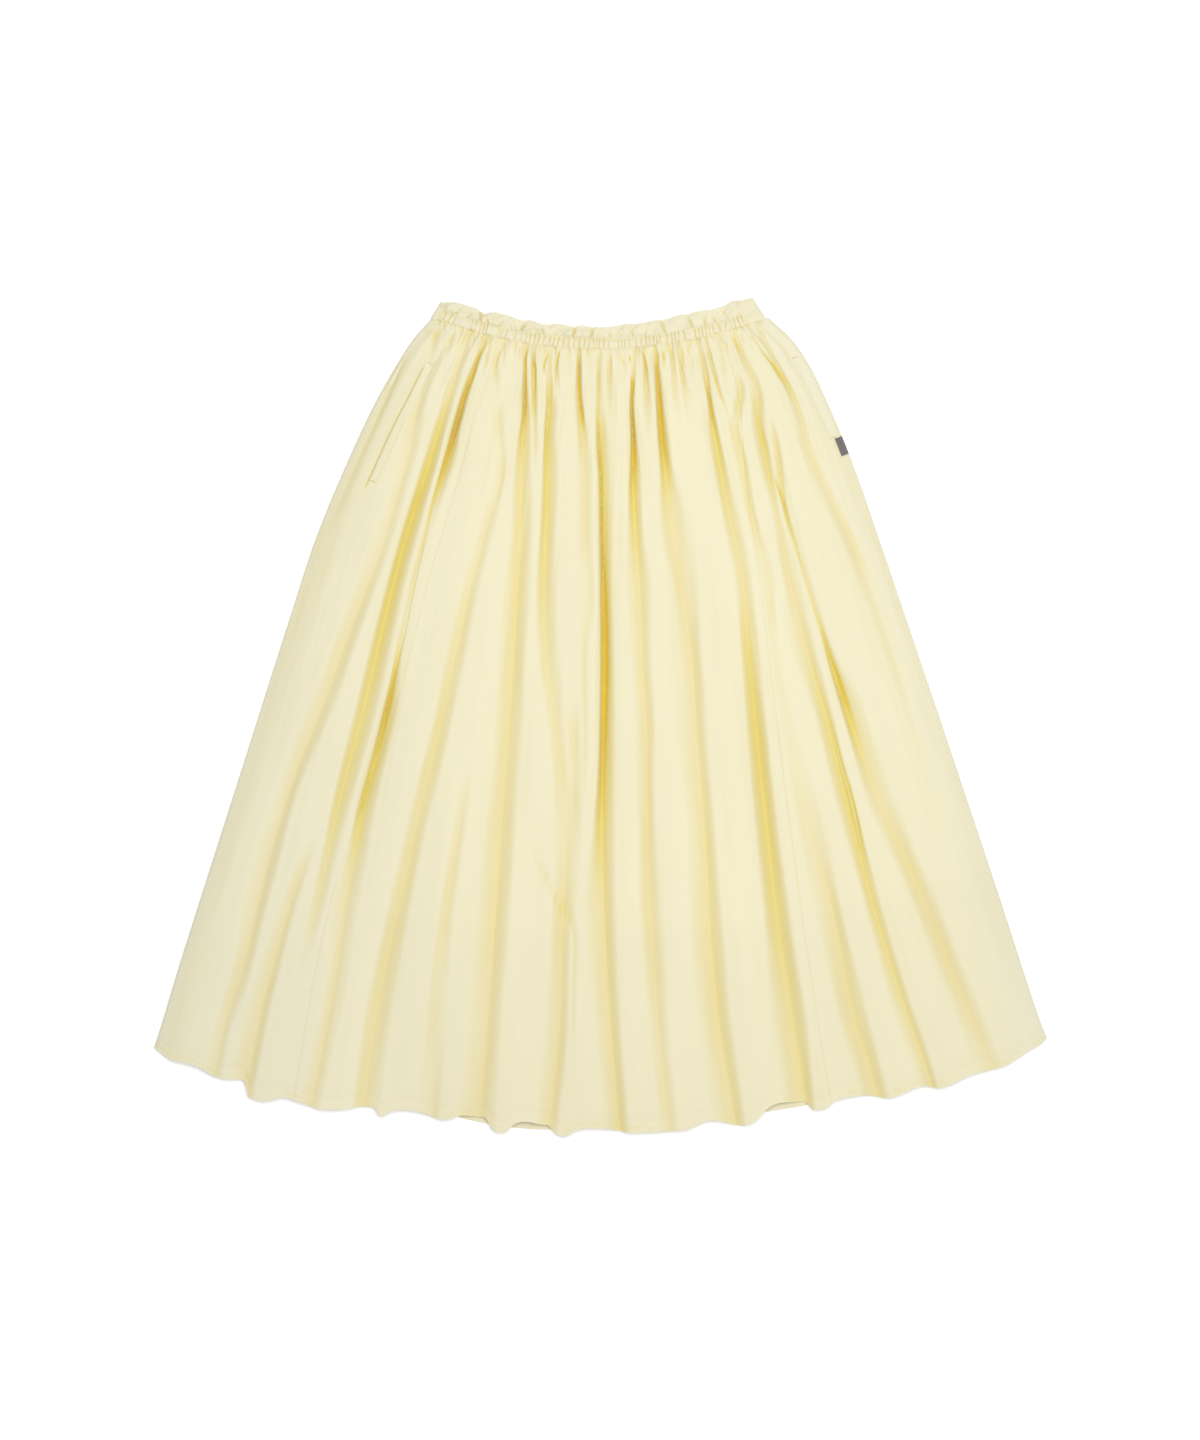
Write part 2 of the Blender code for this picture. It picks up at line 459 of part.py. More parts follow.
def wall(name, outer, inner, cloth, ring=False):
    """A solid between two equal grids of points, given as [row][column] in millimetres.

    A ring's columns close on themselves, and its two open ends are walled off.
    """
    rows, columns = outer.shape[:2]
    bm = bmesh.new()
    faces = []
    for grid in (outer, inner):
        faces.append([[bm.verts.new(point * MM) for point in row] for row in grid])
    top, bottom = faces
    last = columns if ring else columns - 1
    for r in range(rows - 1):
        for c in range(last):
            d = (c + 1) % columns
            bm.faces.new((top[r][c], top[r + 1][c], top[r + 1][d], top[r][d]))
            bm.faces.new((bottom[r][c], bottom[r][d], bottom[r + 1][d], bottom[r + 1][c]))
    for c in range(last):
        d = (c + 1) % columns
        bm.faces.new((top[0][c], top[0][d], bottom[0][d], bottom[0][c]))
        bm.faces.new((top[-1][c], bottom[-1][c], bottom[-1][d], top[-1][d]))
    if not ring:
        for r in range(rows - 1):
            bm.faces.new((top[r][0], bottom[r][0], bottom[r + 1][0], top[r + 1][0]))
            bm.faces.new((top[r][-1], top[r + 1][-1], bottom[r + 1][-1], bottom[r][-1]))
    mesh = bpy.data.meshes.new(name)
    bm.to_mesh(mesh)
    bm.free()
    mesh.shade_smooth()
    mesh.set_sharp_from_angle(angle=math.radians(50))
    mesh.materials.append(cloth)
    solid = bpy.data.objects.new(name, mesh)
    bpy.context.scene.collection.objects.link(solid)
    return solid


def points(x, y, z):
    return np.stack(np.broadcast_arrays(x, y, z), axis=-1)


def side_seam(down):
    """Where the back's left edge, turned over onto the front, meets the front."""
    return section_value("left", down) + section_value("wrap", down)


def right_edge(down):
    """Where the front ends at the right, just inside the turned-over edge."""
    return section_value("right", down) - RIGHT_WRAP


def front_columns(start, end, count, start_band=False, end_band=False):
    """Column places across a front panel; a pocket edge takes two columns of fixed width."""
    band = (0.0, 0.5 * BAND_WIDTH)
    head = [start + width for width in band] if start_band else []
    tail = [end - width for width in band[::-1]] if end_band else []
    low = start + BAND_WIDTH if start_band else start
    high = end - BAND_WIDTH if end_band else end
    middle = [mix(low, high, share) for share in np.linspace(0.0, 1.0, count)]
    return np.stack(head + middle + tail, axis=-1)


def front_grid(x, lift=0.0):
    down = np.array(ROWS)[:, None] * np.ones_like(x)
    return points(x, plan_y(x, down, FRONT_HEM), upper_height(x, down) + lift), down


def build_front_panel(name, x, cloth):
    outer, down = front_grid(x)
    inner = outer.copy()
    inner[..., 2] = under_height(x, down) - hem_fold(down)
    return wall(name, outer, inner, cloth)


def build_back_panel(cloth):
    """One section: over the left edge, along the floor, over the right edge."""
    down = np.array(ROWS)
    level = np.zeros_like(down)
    left = section_value("left", down) + EDGE_RADIUS
    right = section_value("right", down) - EDGE_RADIUS
    hollow = EDGE_RADIUS - CLOTH
    half_turn = np.linspace(-math.pi / 2, math.pi / 2, TURN_COLUMNS + 1)[1:]
    outer = []
    inner = []
    for x in (right_edge(down) + SEAM_GAP, right):
        outer.append((x, upper_height(x, down)))
        inner.append((x, under_height(x, down)))
    for angle in half_turn:
        outer.append((right + EDGE_RADIUS * math.cos(angle), level + EDGE_RADIUS * (1 - math.sin(angle))))
        inner.append((right + hollow * math.cos(angle), level + EDGE_RADIUS - hollow * math.sin(angle)))
    for share in np.linspace(1.0, 0.0, BACK_COLUMNS)[1:]:
        inset = min(share, 1 - share) / HEM_FADE
        turned_up = hem_fold(down) * ease(inset)
        outer.append((mix(left, right, share), level))
        inner.append((mix(left, right, share), level + CLOTH + turned_up))
    for angle in half_turn:
        outer.append((left - EDGE_RADIUS * math.cos(angle), level + EDGE_RADIUS * (1 + math.sin(angle))))
        inner.append((left - hollow * math.cos(angle), level + EDGE_RADIUS + hollow * math.sin(angle)))
    for share in np.linspace(0.0, 1.0, WRAP_COLUMNS)[1:]:
        x = mix(left, side_seam(down), share)
        outer.append((x, upper_height(x, down)))
        inner.append((x, under_height(x, down)))
    grids = []
    for section in (outer, inner):
        x = np.stack([place for place, height in section], axis=-1)
        z = np.stack([height for place, height in section], axis=-1)
        rows = down[:, None] * np.ones_like(x)
        grids.append(points(x, plan_y(x, rows, BACK_HEM), z))
    return wall("back_panel", *grids, cloth)


def above_seam(x, height):
    """Plan place at this height above the waist seam, square to its curve but for the leaning ends."""
    step = 0.5
    share = height / (CASING_HEIGHT + FRILL_HEIGHT)
    at_left = ease(1 - (x - WAIST_LEFT) / END_LEAN_RUN)
    at_right = ease(1 - (WAIST_RIGHT - x) / END_LEAN_RUN)
    lean = LEFT_END_LEAN * at_left + RIGHT_END_LEAN * at_right
    x = x + LEFT_END_FOOT * at_left * (1 - share)
    slope = (plan_y(x + step, 0.0) - plan_y(x - step, 0.0)) / (2 * step)
    length = np.sqrt(1 + slope ** 2)
    return x - slope / length * height + lean * share, plan_y(x, 0.0) + height / length


def waist_crest(x):
    """Height of the waist's upper layer, down to its turned ends."""
    inward = np.clip(np.minimum(x - WAIST_LEFT, WAIST_RIGHT - x) / WAIST_RISE, 0.0, 1.0)
    edge = 2 * WAIST_RADIUS
    return edge + (WAIST_TOP - edge) * (1 - (1 - inward) ** 2)


def waist_fade(x):
    return ease(np.minimum(x - WAIST_LEFT, WAIST_RIGHT - x) / WAIST_FADE)


def build_waist_tube(name, x, rises, outer_z, inner_z, back_count, cloth):
    """A flattened tube round the waist: upper layer, right turn, lower layer, left turn.

    rises give a row's height above the seam at each place along it, and outer_z and inner_z are
    the [row][column] heights of the upper layer off the floor.
    """
    hollow = WAIST_RADIUS - WAIST_CLOTH
    turn = np.linspace(-math.pi / 2, math.pi / 2, TURN_COLUMNS + 1)[1:]
    back_x = np.linspace(WAIST_RIGHT, WAIST_LEFT, back_count)[1:]
    grids = []
    for radius, heights in ((WAIST_RADIUS, outer_z), (hollow, inner_z)):
        rings = []
        for rise, height in zip(rises, heights):
            right_x = WAIST_RIGHT + radius * np.cos(turn)
            left_x = (WAIST_LEFT - radius * np.cos(turn))[:-1]
            rings.append(np.concatenate([
                points(*above_seam(x, rise(x)), height),
                points(*above_seam(right_x, rise(right_x)), WAIST_RADIUS - radius * np.sin(turn)),
                points(*above_seam(back_x, rise(back_x)), WAIST_RADIUS - radius),
                points(*above_seam(left_x, rise(left_x)), WAIST_RADIUS + radius * np.sin(turn[:-1])),
            ]))
        grids.append(np.array(rings))
    return wall(name, *grids, cloth, ring=True)


def casing_rise(share):
    """Height above the waist seam along a row of the casing."""
    return lambda x: share * CASING_HEIGHT + SEAM_GAP + np.zeros_like(x)


def frill_rise(share):
    """Height above the waist seam along a row of the frill, whose free edge swings up and down."""
    edge = [point.x for point in FRILL_EDGE]
    swing = [point.rise for point in FRILL_EDGE]
    plain = share * FRILL_HEIGHT + CASING_HEIGHT + 2 * SEAM_GAP
    return lambda x: plain + smooth_curve(edge, swing, x) * share ** 1.5


def build_casing(cloth):
    """Shirred tube: ribs on the outer face, plain inside."""
    count = 2 * CASING_RIBS + 1
    x = np.linspace(WAIST_LEFT, WAIST_RIGHT, count)
    rib = np.where(np.arange(count) % 2 == 1, RIB_DEPTH, 0.0)
    rises = [casing_rise(share) for share in np.linspace(1.0, 0.0, CASING_ROWS + 1)]
    swell = np.sin(np.linspace(0.0, math.pi, CASING_ROWS + 1)) * CASING_SWELL
    base = waist_crest(x)
    fade = waist_fade(x)
    outer_z = [base + (rib + bulge) * fade for bulge in swell]
    inner_z = [base - WAIST_CLOTH for bulge in swell]
    return build_waist_tube("waist_casing", x, rises, outer_z, inner_z, CASING_BACK_COLUMNS, cloth)


def frill_wave(x, share):
    """Depth of the frill's folds along the waist, at this share of its height."""
    depth = np.zeros_like(x)
    for fold in FRILL_FOLDS:
        half = fold.half * mix(FRILL_FOLD_START, 1.0, share)
        depth = depth + fold.depth * groove(x - fold.x - fold.lean * share, half, half, FRILL_SHARP)
    return depth


def build_frill(cloth):
    """Ruffled heading above the casing: its folds open towards the free edge."""
    x = np.linspace(WAIST_LEFT, WAIST_RIGHT, FRILL_COLUMNS)
    shares = np.linspace(1.0, 0.0, FRILL_ROWS + 1)
    rises = [frill_rise(share) for share in shares]
    outer_z = []
    for share in shares:
        wave = (FRILL_LIFT - frill_wave(x, share)) * waist_fade(x)
        outer_z.append(waist_crest(x) + wave * mix(FRILL_START, 1.0, share))
    inner_z = [top - WAIST_CLOTH for top in outer_z]
    return build_waist_tube("waist_frill", x, rises, outer_z, inner_z, FRILL_COLUMNS // 2, cloth)


def build_pocket_band(name, x, rows, columns, cloth):
    """Stitched edge of a pocket mouth, made from the panel's points and moved out."""
    first, last = rows
    grid, down = front_grid(x, lift=SEAM_GAP)
    under = grid[first:last + 1, columns]
    over = under.copy()
    over[..., 2] += BAND_THICKNESS
    return wall(name, over, under, cloth)


def build_side_tab(cloth):
    """Bare woven tab, set square to the right side, caught in its seam below the pocket."""
    down = np.linspace(TAB_START, TAB_START + TAB_LENGTH / SKIRT_FALL, 3)[:, None]
    across = np.linspace(1.0, 0.0, 4)[None, :]
    step = 0.004
    x = section_value("right", down)
    y = plan_y(x, down)
    ahead_x = section_value("right", down + step)
    ahead_y = plan_y(ahead_x, down + step)
    length = np.hypot(ahead_x - x, ahead_y - y)
    inset = TAB_INSET + TAB_WIDTH * across
    tab_x = x + (ahead_y - y) / length * inset
    tab_y = y - (ahead_x - x) / length * inset
    under = points(tab_x, tab_y, upper_height(tab_x, down) + SEAM_GAP + TAB_SLACK)
    over = under.copy()
    over[..., 2] += TAB_THICKNESS
    return wall("side_tab", over, under, cloth)


def main():
    for item in list(bpy.data.objects):
        bpy.data.objects.remove(item, do_unlink=True)
    cotton = material("pale_yellow_cotton", COTTON_COLOUR, 0.85)
    woven = material("grey_woven_tab", TAB_COLOUR, 0.7)

    down = np.array(ROWS)
    left_seam = smooth_curve(STATIONS, LEFT_SEAM, down)
    right_seam = smooth_curve(STATIONS, RIGHT_SEAM, down)
    half_gap = SEAM_GAP / 2
    left_x = front_columns(side_seam(down) + SEAM_GAP, left_seam - half_gap, LEFT_COLUMNS, start_band=True)
    centre_x = front_columns(left_seam + half_gap, right_seam - half_gap, CENTRE_COLUMNS)
    right_x = front_columns(right_seam + half_gap, right_edge(down), RIGHT_COLUMNS, end_band=True)

    build_back_panel(cotton)
    build_front_panel("front_left_panel", left_x, cotton)
    build_front_panel("front_centre_panel", centre_x, cotton)
    build_front_panel("front_right_panel", right_x, cotton)
    build_casing(cotton)
    build_frill(cotton)
    build_pocket_band("pocket_band_left", left_x, LEFT_POCKET_ROWS, slice(0, 3), cotton)
    build_pocket_band("pocket_band_right", right_x, RIGHT_POCKET_ROWS, slice(-3, None), cotton)
    build_side_tab(woven)


main()
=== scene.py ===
"""The looks of the shirred long skirt, laid flat on its back and seen from straight above.

Tables are in millimetres. A place on a panel is given by two numbers, as in the part's source:
  x     distance from the centre line, to the right in plan
  down  0 at the waist seam, 1 at the hem
Each panel is a thin shell of cotton on its solid's form, with finer folds, gathers, hem puckers
and stitches. Everything is worked out from the tables of sizes, sections and folds below.
"""

import math
from collections import namedtuple

import bpy
import numpy as np
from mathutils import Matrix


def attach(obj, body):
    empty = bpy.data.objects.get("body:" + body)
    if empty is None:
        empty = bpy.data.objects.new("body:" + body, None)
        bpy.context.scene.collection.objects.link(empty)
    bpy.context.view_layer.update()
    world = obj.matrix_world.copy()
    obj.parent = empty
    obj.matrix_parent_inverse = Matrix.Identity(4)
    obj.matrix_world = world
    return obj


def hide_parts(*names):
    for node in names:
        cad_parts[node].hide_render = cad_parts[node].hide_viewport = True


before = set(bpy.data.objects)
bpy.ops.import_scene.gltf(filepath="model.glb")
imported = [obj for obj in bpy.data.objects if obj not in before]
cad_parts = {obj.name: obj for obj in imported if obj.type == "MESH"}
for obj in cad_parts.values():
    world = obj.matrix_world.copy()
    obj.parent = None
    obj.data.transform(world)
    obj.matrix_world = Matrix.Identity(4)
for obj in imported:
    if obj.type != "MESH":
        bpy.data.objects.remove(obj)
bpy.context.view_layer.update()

MM = 0.001

# ---------------------------------------------------------------------------
# Driving sizes, as in the part's source
# ---------------------------------------------------------------------------
CLOTH = 0.6            # thickness of a shell
SHELL_GAP = 0.02       # between panels where they are sewn together
SIDE_GAP = 0.004       # and at the side seams, which lie pressed flat
LAYER_GAP = 0.3        # between layers that lie on each other
SKIRT_FALL = 748.5     # from the ends of the waist seam down to the ends of the hem
WAIST_SEAM_Y = 409.8   # ends of the waist seam above the origin
EDGE_RADIUS = 2.6      # round turn of the cloth at both sides of the outline
EDGE_RISE = 62.0       # the upper layer climbs from the edge to its full height over this
RIGHT_WRAP = 4.1       # width of the back panel that shows on the front, at the right edge
HEM_TURN = 9.0         # height of the turned-up hem
HEM_CLOTH = 1.1        # thickness of the turned-up hem
FLOOR_LEAST = 2.2      # lowest place of the upper layer, in the deepest grooves
FLOOR_HARDNESS = 6     # how sharply a groove flattens there
CASING_HEIGHT = 10.0
FRILL_HEIGHT = 13.6
WAIST_LEFT = -164.0    # ends of the waist tubes' straight stretch, along the seam
WAIST_RIGHT = 168.0
WAIST_RADIUS = 2.6     # round turn of the tubes at both ends
WAIST_CLOTH = 1.0
WAIST_TOP = 8.2        # height of the upper layer in the middle
WAIST_RISE = 30.0      # it climbs from the ends to that height over this
WAIST_FADE = 8.0       # ribs and waves die out over this, at both ends
BAND_WIDTH = 8.6       # stitched pocket edge
BAND_CLOTH = 0.5
BAND_LIFT = 0.1        # the edge lies this far above the panel
BAND_PUCKER = 0.22     # height of its puckers
BAND_PUCKER_PITCH = 4.6
BAND_PUCKER_SLANT = 1.2
BAND_STITCH = 0.82     # share of its width at which it is stitched
BAND_STITCH_HALF = 0.14
BAND_STITCH_DIP = 0.25
BAND_LEAST = -0.3      # its lowest place
POCKET_START = 0.051   # the pockets' mouths, as shares of the skirt
LEFT_POCKET_END = 0.211
RIGHT_POCKET_END = 0.160
TAB_THICKNESS = 0.9
TAB_WIDTH = 7.8        # across the side seam
TAB_LENGTH = 18.0      # along it
TAB_START = 0.162      # the tab's upper end, as a share of the skirt
TAB_INSET = 0.4        # of the tab's outer side from the outline
TAB_REST = 0.4         # the tab lies this far above the cloth
TAB_CURL = 0.5         # its inner end curls up by this in the middle
TAB_TURN = 0.35        # and its outer end by this


def rows_of(kind, *rows):
    """A table of named columns from plain rows."""
    return tuple(kind(*row) for row in rows)


# Sections across the skirt, from the waist seam to the hem, as in the part's source.
Section = namedtuple("Section", "fall left right sag top wrap")
SECTIONS = rows_of(
    Section,
    (0, -173.6, 173.6, 33, 8.6, 17),
    (21, -192.1, 196.2, 35, 11.0, 22),
    (46, -208.6, 213.7, 37, 13.4, 25),
    (83, -229.6, 231.9, 39, 14.6, 27),
    (145, -259.0, 258.0, 44, 15.2, 27),
    (227, -293.0, 286.8, 50, 15.2, 18),
    (309, -319.8, 314.7, 56, 14.8, 7),
    (474, -372.3, 370.3, 68, 13.8, 6),
    (639, -424.9, 424.9, 80, 12.2, 6),
    (748.5, -459.4, 459.4, 88.5, 10.6, 6),
)

# Seams that run down the front, as distances from the centre line at these stations.
STATIONS = (0.0, 0.07, 0.16, 0.30, 0.50, 0.75, 1.0)
LEFT_SEAM = (-112, -125, -141, -173, -214, -277, -316)
RIGHT_SEAM = (126, 141, 147, 162, 181, 207, 237)

# Folds of the front: grooves that run from the waist towards the hem, each by its own places.
#   down    how far down the skirt
#   x       the groove's distance from the centre line there
#   depth   its depth
#   left    width of its left side
#   right   width of its right side
At = namedtuple("At", "down x depth left right")
# sharp is 0 for a round trough and 1 for a crease between two rolls
Fold = namedtuple("Fold", "sharp places")
FOLDS = tuple(Fold(sharp, rows_of(At, *places)) for sharp, places in (
    (0.3, (
        (0.02, -158, 1.5, 6, 6), (0.07, -179, 2.0, 9, 8), (0.16, -196, 2.6, 11, 11),
        (0.30, -227, 3.2, 16, 11), (0.40, -256, 3.5, 15, 12), (0.50, -283, 3.6, 17, 12),
        (0.62, -318, 3.4, 18, 10), (0.75, -346, 4.0, 22, 11), (0.87, -369, 3.0, 13, 10),
        (0.96, -391, 2.3, 12, 9), (1.0, -397, 2.0, 12, 9),
    )),
    (0.3, (
        (0.66, -290, 0.0, 8, 8), (0.75, -315, 2.2, 12, 8), (0.87, -341, 3.2, 16, 10),
        (0.96, -359, 3.6, 22, 10), (1.0, -366, 3.4, 22, 10),
    )),
    (0.5, (
        (0.0, -134, 1.6, 5, 5), (0.03, -142, 2.2, 6, 7), (0.07, -152, 3.4, 7, 9), (0.115, -163, 4.4, 8, 9),
        (0.16, -173, 5.6, 8, 10), (0.23, -191, 7.0, 6, 12), (0.30, -207, 6.5, 6, 14),
        (0.40, -226, 6.6, 8, 14), (0.50, -244, 6.0, 9, 16), (0.62, -268, 5.0, 8, 14),
        (0.70, -281, 3.0, 8, 12), (0.78, -295, 1.5, 8, 10), (0.88, -318, 0.0, 8, 10),
    )),
    (0.7, (
        (0.0, -117, 2.5, 4, 4), (0.03, -126, 3.2, 4, 4), (0.07, -138, 5.6, 4, 6), (0.115, -148, 8.0, 4, 6),
        (0.16, -158, 6.2, 3, 11), (0.23, -174, 1.4, 3, 8), (0.30, -189, 1.0, 3, 5), (0.40, -206, 1.2, 3, 5),
        (0.45, -213, 3.5, 3, 9), (0.50, -222, 7.6, 3, 14), (0.56, -233, 7.2, 4, 14),
        (0.62, -245, 6.2, 5, 15), (0.68, -252, 4.4, 9, 15), (0.75, -262, 3.4, 16, 15),
        (0.87, -275, 2.8, 12, 12), (1.0, -298, 2.8, 16, 12),
    )),
    (0.4, (
        (0.0, -98, 0.8, 5, 5), (0.03, -108, 1.6, 5, 5), (0.07, -107, 1.0, 8, 8), (0.16, -101, 1.6, 12, 6),
        (0.23, -115, 1.8, 9, 9), (0.30, -130, 2.3, 11, 10), (0.40, -148, 2.9, 11, 11),
        (0.50, -165, 3.4, 9, 12), (0.62, -187, 3.6, 12, 12), (0.75, -209, 3.8, 12, 13),
        (0.87, -229, 4.3, 14, 17), (1.0, -245, 4.4, 12, 20),
    )),
    (0.3, (
        (0.52, -132, 0.0, 8, 8), (0.62, -145, 1.5, 8, 8), (0.75, -160, 2.0, 9, 10),
        (0.87, -171, 2.0, 10, 16), (1.0, -173, 2.1, 18, 9),
    )),
    (0.5, (
        (0.0, -78, 1.5, 3, 3), (0.03, -78, 2.4, 3, 3), (0.07, -78, 4.6, 3, 5), (0.115, -80, 4.8, 4, 14),
        (0.16, -81, 4.2, 10, 14), (0.23, -82, 4.2, 11, 14), (0.30, -85, 5.0, 15, 15),
        (0.40, -89, 5.2, 18, 13), (0.50, -95, 5.2, 17, 17), (0.62, -102, 5.4, 20, 16),
        (0.75, -109, 5.5, 26, 16), (0.87, -116, 5.0, 30, 15), (1.0, -124, 4.8, 26, 18),
    )),
    (0.5, (
        (0.0, -52, 1.0, 3, 4), (0.03, -53, 1.4, 3, 4), (0.07, -53, 4.6, 4, 10), (0.115, -55, 5.0, 4, 11),
        (0.16, -55, 5.0, 6, 13), (0.23, -57, 4.3, 6, 13), (0.30, -58, 4.2, 9, 14), (0.40, -54, 3.4, 12, 14),
        (0.50, -44, 2.6, 10, 13), (0.62, -34, 3.2, 15, 17), (0.75, -40, 3.8, 12, 15),
        (0.87, -42, 3.8, 20, 11), (1.0, -53, 3.3, 15, 10),
    )),
    (0.3, (
        (0.44, -30, 0.0, 10, 12), (0.50, -28, 2.3, 10, 13), (0.57, -27, 1.6, 10, 12),
        (0.64, -26, 0.0, 10, 12),
    )),
    (0.6, (
        (0.0, -22, 3.0, 3, 3), (0.03, -22, 4.4, 4, 4), (0.07, -21, 4.4, 6, 4), (0.115, -19, 2.4, 6, 8),
        (0.16, -16, 2.0, 10, 9), (0.23, -16, 1.8, 10, 9), (0.30, -12, 1.2, 8, 8), (0.40, -17, 0.9, 6, 7),
        (0.50, -17, 0.8, 5, 6), (0.60, -17, 0.0, 5, 6),
    )),
    (0.6, (
        (0.0, -2, 1.2, 3, 4), (0.03, -2, 2.2, 3, 4), (0.07, -2, 2.4, 5, 8), (0.115, -2, 5.0, 3, 14),
        (0.16, 0, 5.2, 3, 15), (0.23, 1, 6.6, 3, 13), (0.30, 2, 7.8, 3, 11), (0.40, 3, 8.6, 4, 12),
        (0.50, 2, 8.6, 4, 14), (0.62, 1, 7.0, 11, 15), (0.75, 5, 5.6, 26, 13), (0.87, 11, 4.6, 18, 12),
        (1.0, 20, 4.6, 18, 11),
    )),
    (0.5, (
        (0.0, 36, 1.2, 3, 3), (0.03, 34, 2.0, 3, 3), (0.07, 32, 4.6, 3, 3), (0.115, 33, 6.5, 3, 5),
        (0.16, 33, 5.2, 4, 10), (0.23, 36, 4.3, 10, 9), (0.30, 40, 4.2, 17, 13), (0.40, 43, 3.3, 13, 11),
        (0.50, 48, 3.5, 14, 9), (0.62, 48, 3.4, 11, 11), (0.75, 53, 3.9, 13, 16), (0.87, 60, 2.5, 13, 12),
        (1.0, 71, 2.1, 12, 11),
    )),
    (0.5, (
        (0.0, 56, 2.8, 3, 3), (0.03, 58, 4.0, 4, 4), (0.07, 60, 6.0, 4, 5), (0.115, 62, 6.6, 4, 9),
        (0.16, 66, 4.9, 6, 10), (0.23, 73, 4.8, 13, 24), (0.30, 82, 4.6, 14, 22), (0.40, 94, 4.7, 25, 11),
        (0.50, 99, 5.0, 26, 12), (0.62, 107, 5.0, 22, 12), (0.75, 113, 5.5, 26, 14),
        (0.87, 122, 5.6, 25, 14), (1.0, 139, 5.0, 26, 12),
    )),
    (0.5, (
        (0.0, 100, 1.8, 3, 3), (0.03, 106, 2.4, 4, 4), (0.07, 111, 3.2, 3, 4), (0.115, 116, 3.8, 6, 6),
        (0.16, 122, 4.0, 7, 8), (0.23, 133, 3.5, 8, 11), (0.30, 145, 3.1, 10, 11), (0.40, 152, 5.0, 9, 12),
        (0.50, 160, 6.6, 11, 12), (0.62, 170, 7.0, 13, 12), (0.75, 182, 8.0, 15, 15),
        (0.87, 197, 7.4, 24, 15), (1.0, 210, 7.0, 25, 12),
    )),
    (0.4, (
        (0.04, 138, 0.0, 6, 6), (0.07, 144, 2.4, 6, 6), (0.115, 139, 2.5, 10, 7), (0.16, 146, 2.6, 11, 6),
        (0.23, 155, 1.8, 6, 7), (0.30, 170, 2.0, 10, 8), (0.40, 178, 0.9, 6, 6), (0.50, 191, 0.9, 8, 10),
        (0.62, 211, 2.4, 14, 20), (0.75, 239, 3.6, 20, 9), (0.87, 257, 5.2, 17, 15),
        (1.0, 285, 5.6, 20, 14),
    )),
    (0.6, (
        (0.0, 138, 1.6, 4, 4), (0.03, 145, 2.6, 4, 7), (0.07, 160, 2.9, 8, 7), (0.115, 162, 3.8, 9, 8),
        (0.16, 169, 3.8, 9, 7), (0.23, 180, 1.6, 6, 5), (0.30, 191, 2.9, 9, 11), (0.40, 209, 3.5, 18, 10),
        (0.50, 230, 4.5, 11, 9), (0.62, 254, 5.2, 12, 6), (0.75, 279, 4.0, 9, 9), (0.87, 307, 3.7, 13, 8),
        (1.0, 341, 3.4, 16, 8),
    )),
    (0.6, (
        (0.10, 172, 0.0, 4, 4), (0.16, 182, 2.0, 5, 5), (0.23, 189, 1.8, 3, 4), (0.30, 205, 1.0, 4, 4),
        (0.40, 228, 1.8, 3, 4), (0.45, 239, 4.5, 4, 12), (0.50, 251, 6.6, 5, 20), (0.56, 267, 5.4, 9, 20),
        (0.62, 284, 4.4, 15, 17), (0.75, 327, 3.9, 13, 13), (0.87, 362, 3.9, 13, 14),
        (1.0, 403, 3.3, 20, 17),
    )),
    (0.5, (
        (0.0, 160, 1.0, 4, 4), (0.04, 176, 2.0, 4, 4), (0.07, 188, 3.0, 4, 5), (0.115, 203, 2.2, 7, 6),
        (0.16, 212, 2.0, 9, 8), (0.23, 235, 2.2, 10, 8), (0.30, 259, 2.2, 10, 8), (0.40, 287, 1.8, 11, 15),
        (0.50, 311, 1.0, 8, 8), (0.60, 335, 0.0, 8, 8),
    )),
    (0.3, (
        (0.04, -197, 0.0, 5, 5), (0.07, -208, 1.2, 5, 5), (0.115, -223, 1.4, 7, 5), (0.16, -238, 1.0, 7, 6),
        (0.23, -262, 0.8, 8, 8), (0.30, -285, 0.0, 8, 8),
    )),
    (0.5, (
        (0.62, -72, 0.0, 4, 6), (0.65, -66, 0.8, 4, 6), (0.70, -46, 1.0, 4, 6), (0.75, -27, 1.2, 5, 6),
        (0.83, -29, 0.8, 5, 6), (0.90, -30, 0.0, 5, 6),
    )),
))

# Short gathers between the main folds, from the waist seam down.
#   x       distance from the centre line just below the seam
#   end     and where it runs out
#   depth   its depth
#   half    half its width
#   run     how far down it runs
Gather = namedtuple("Gather", "x end depth half run")
GATHERS = rows_of(
    Gather,
    (-166, -184, 1.8, 5, 0.09), (-150, -166, 1.2, 3, 0.07), (-113, -124, 1.8, 3, 0.07),
    (-99, -101, 1.4, 3, 0.05), (-88, -90, 1.2, 3, 0.05), (-69, -67, 4.0, 4, 0.21), (-57, -60, 1.8, 3, 0.06),
    (-47, -42, 2.8, 3, 0.08), (-33, -31, 1.2, 3, 0.05), (-11, -10, 1.3, 3, 0.05), (9, 8, 3.0, 5, 0.15),
    (25, 23, 1.4, 4, 0.06), (45, 52, 3.2, 4, 0.16), (64, 70, 1.4, 3, 0.06), (73, 81, 2.2, 4, 0.14),
    (80, 94, 2.6, 3, 0.13), (91, 97, 1.2, 3, 0.06), (108, 132, 3.4, 3, 0.12), (122, 136, 1.6, 4, 0.12),
    (134, 142, 1.5, 3, 0.05), (152, 160, 1.0, 3, 0.05), (163, 172, 1.2, 3, 0.06), (182, 206, 1.1, 5, 0.10),
)
GATHER_START = 0.5         # share of its depth that a gather has right at the seam
GATHER_OPEN = 0.03         # it has its full depth from here down
GATHER_SHARP = 0.6
GATHER_SPREAD = (0.8, 1.8)    # its width at the seam and where it runs out, as shares
ROLL_SPREAD = 2.6          # a groove also bends the cloth beside it, over this many times its width
ROLL_SHARE = 0.3           # by this share of its depth

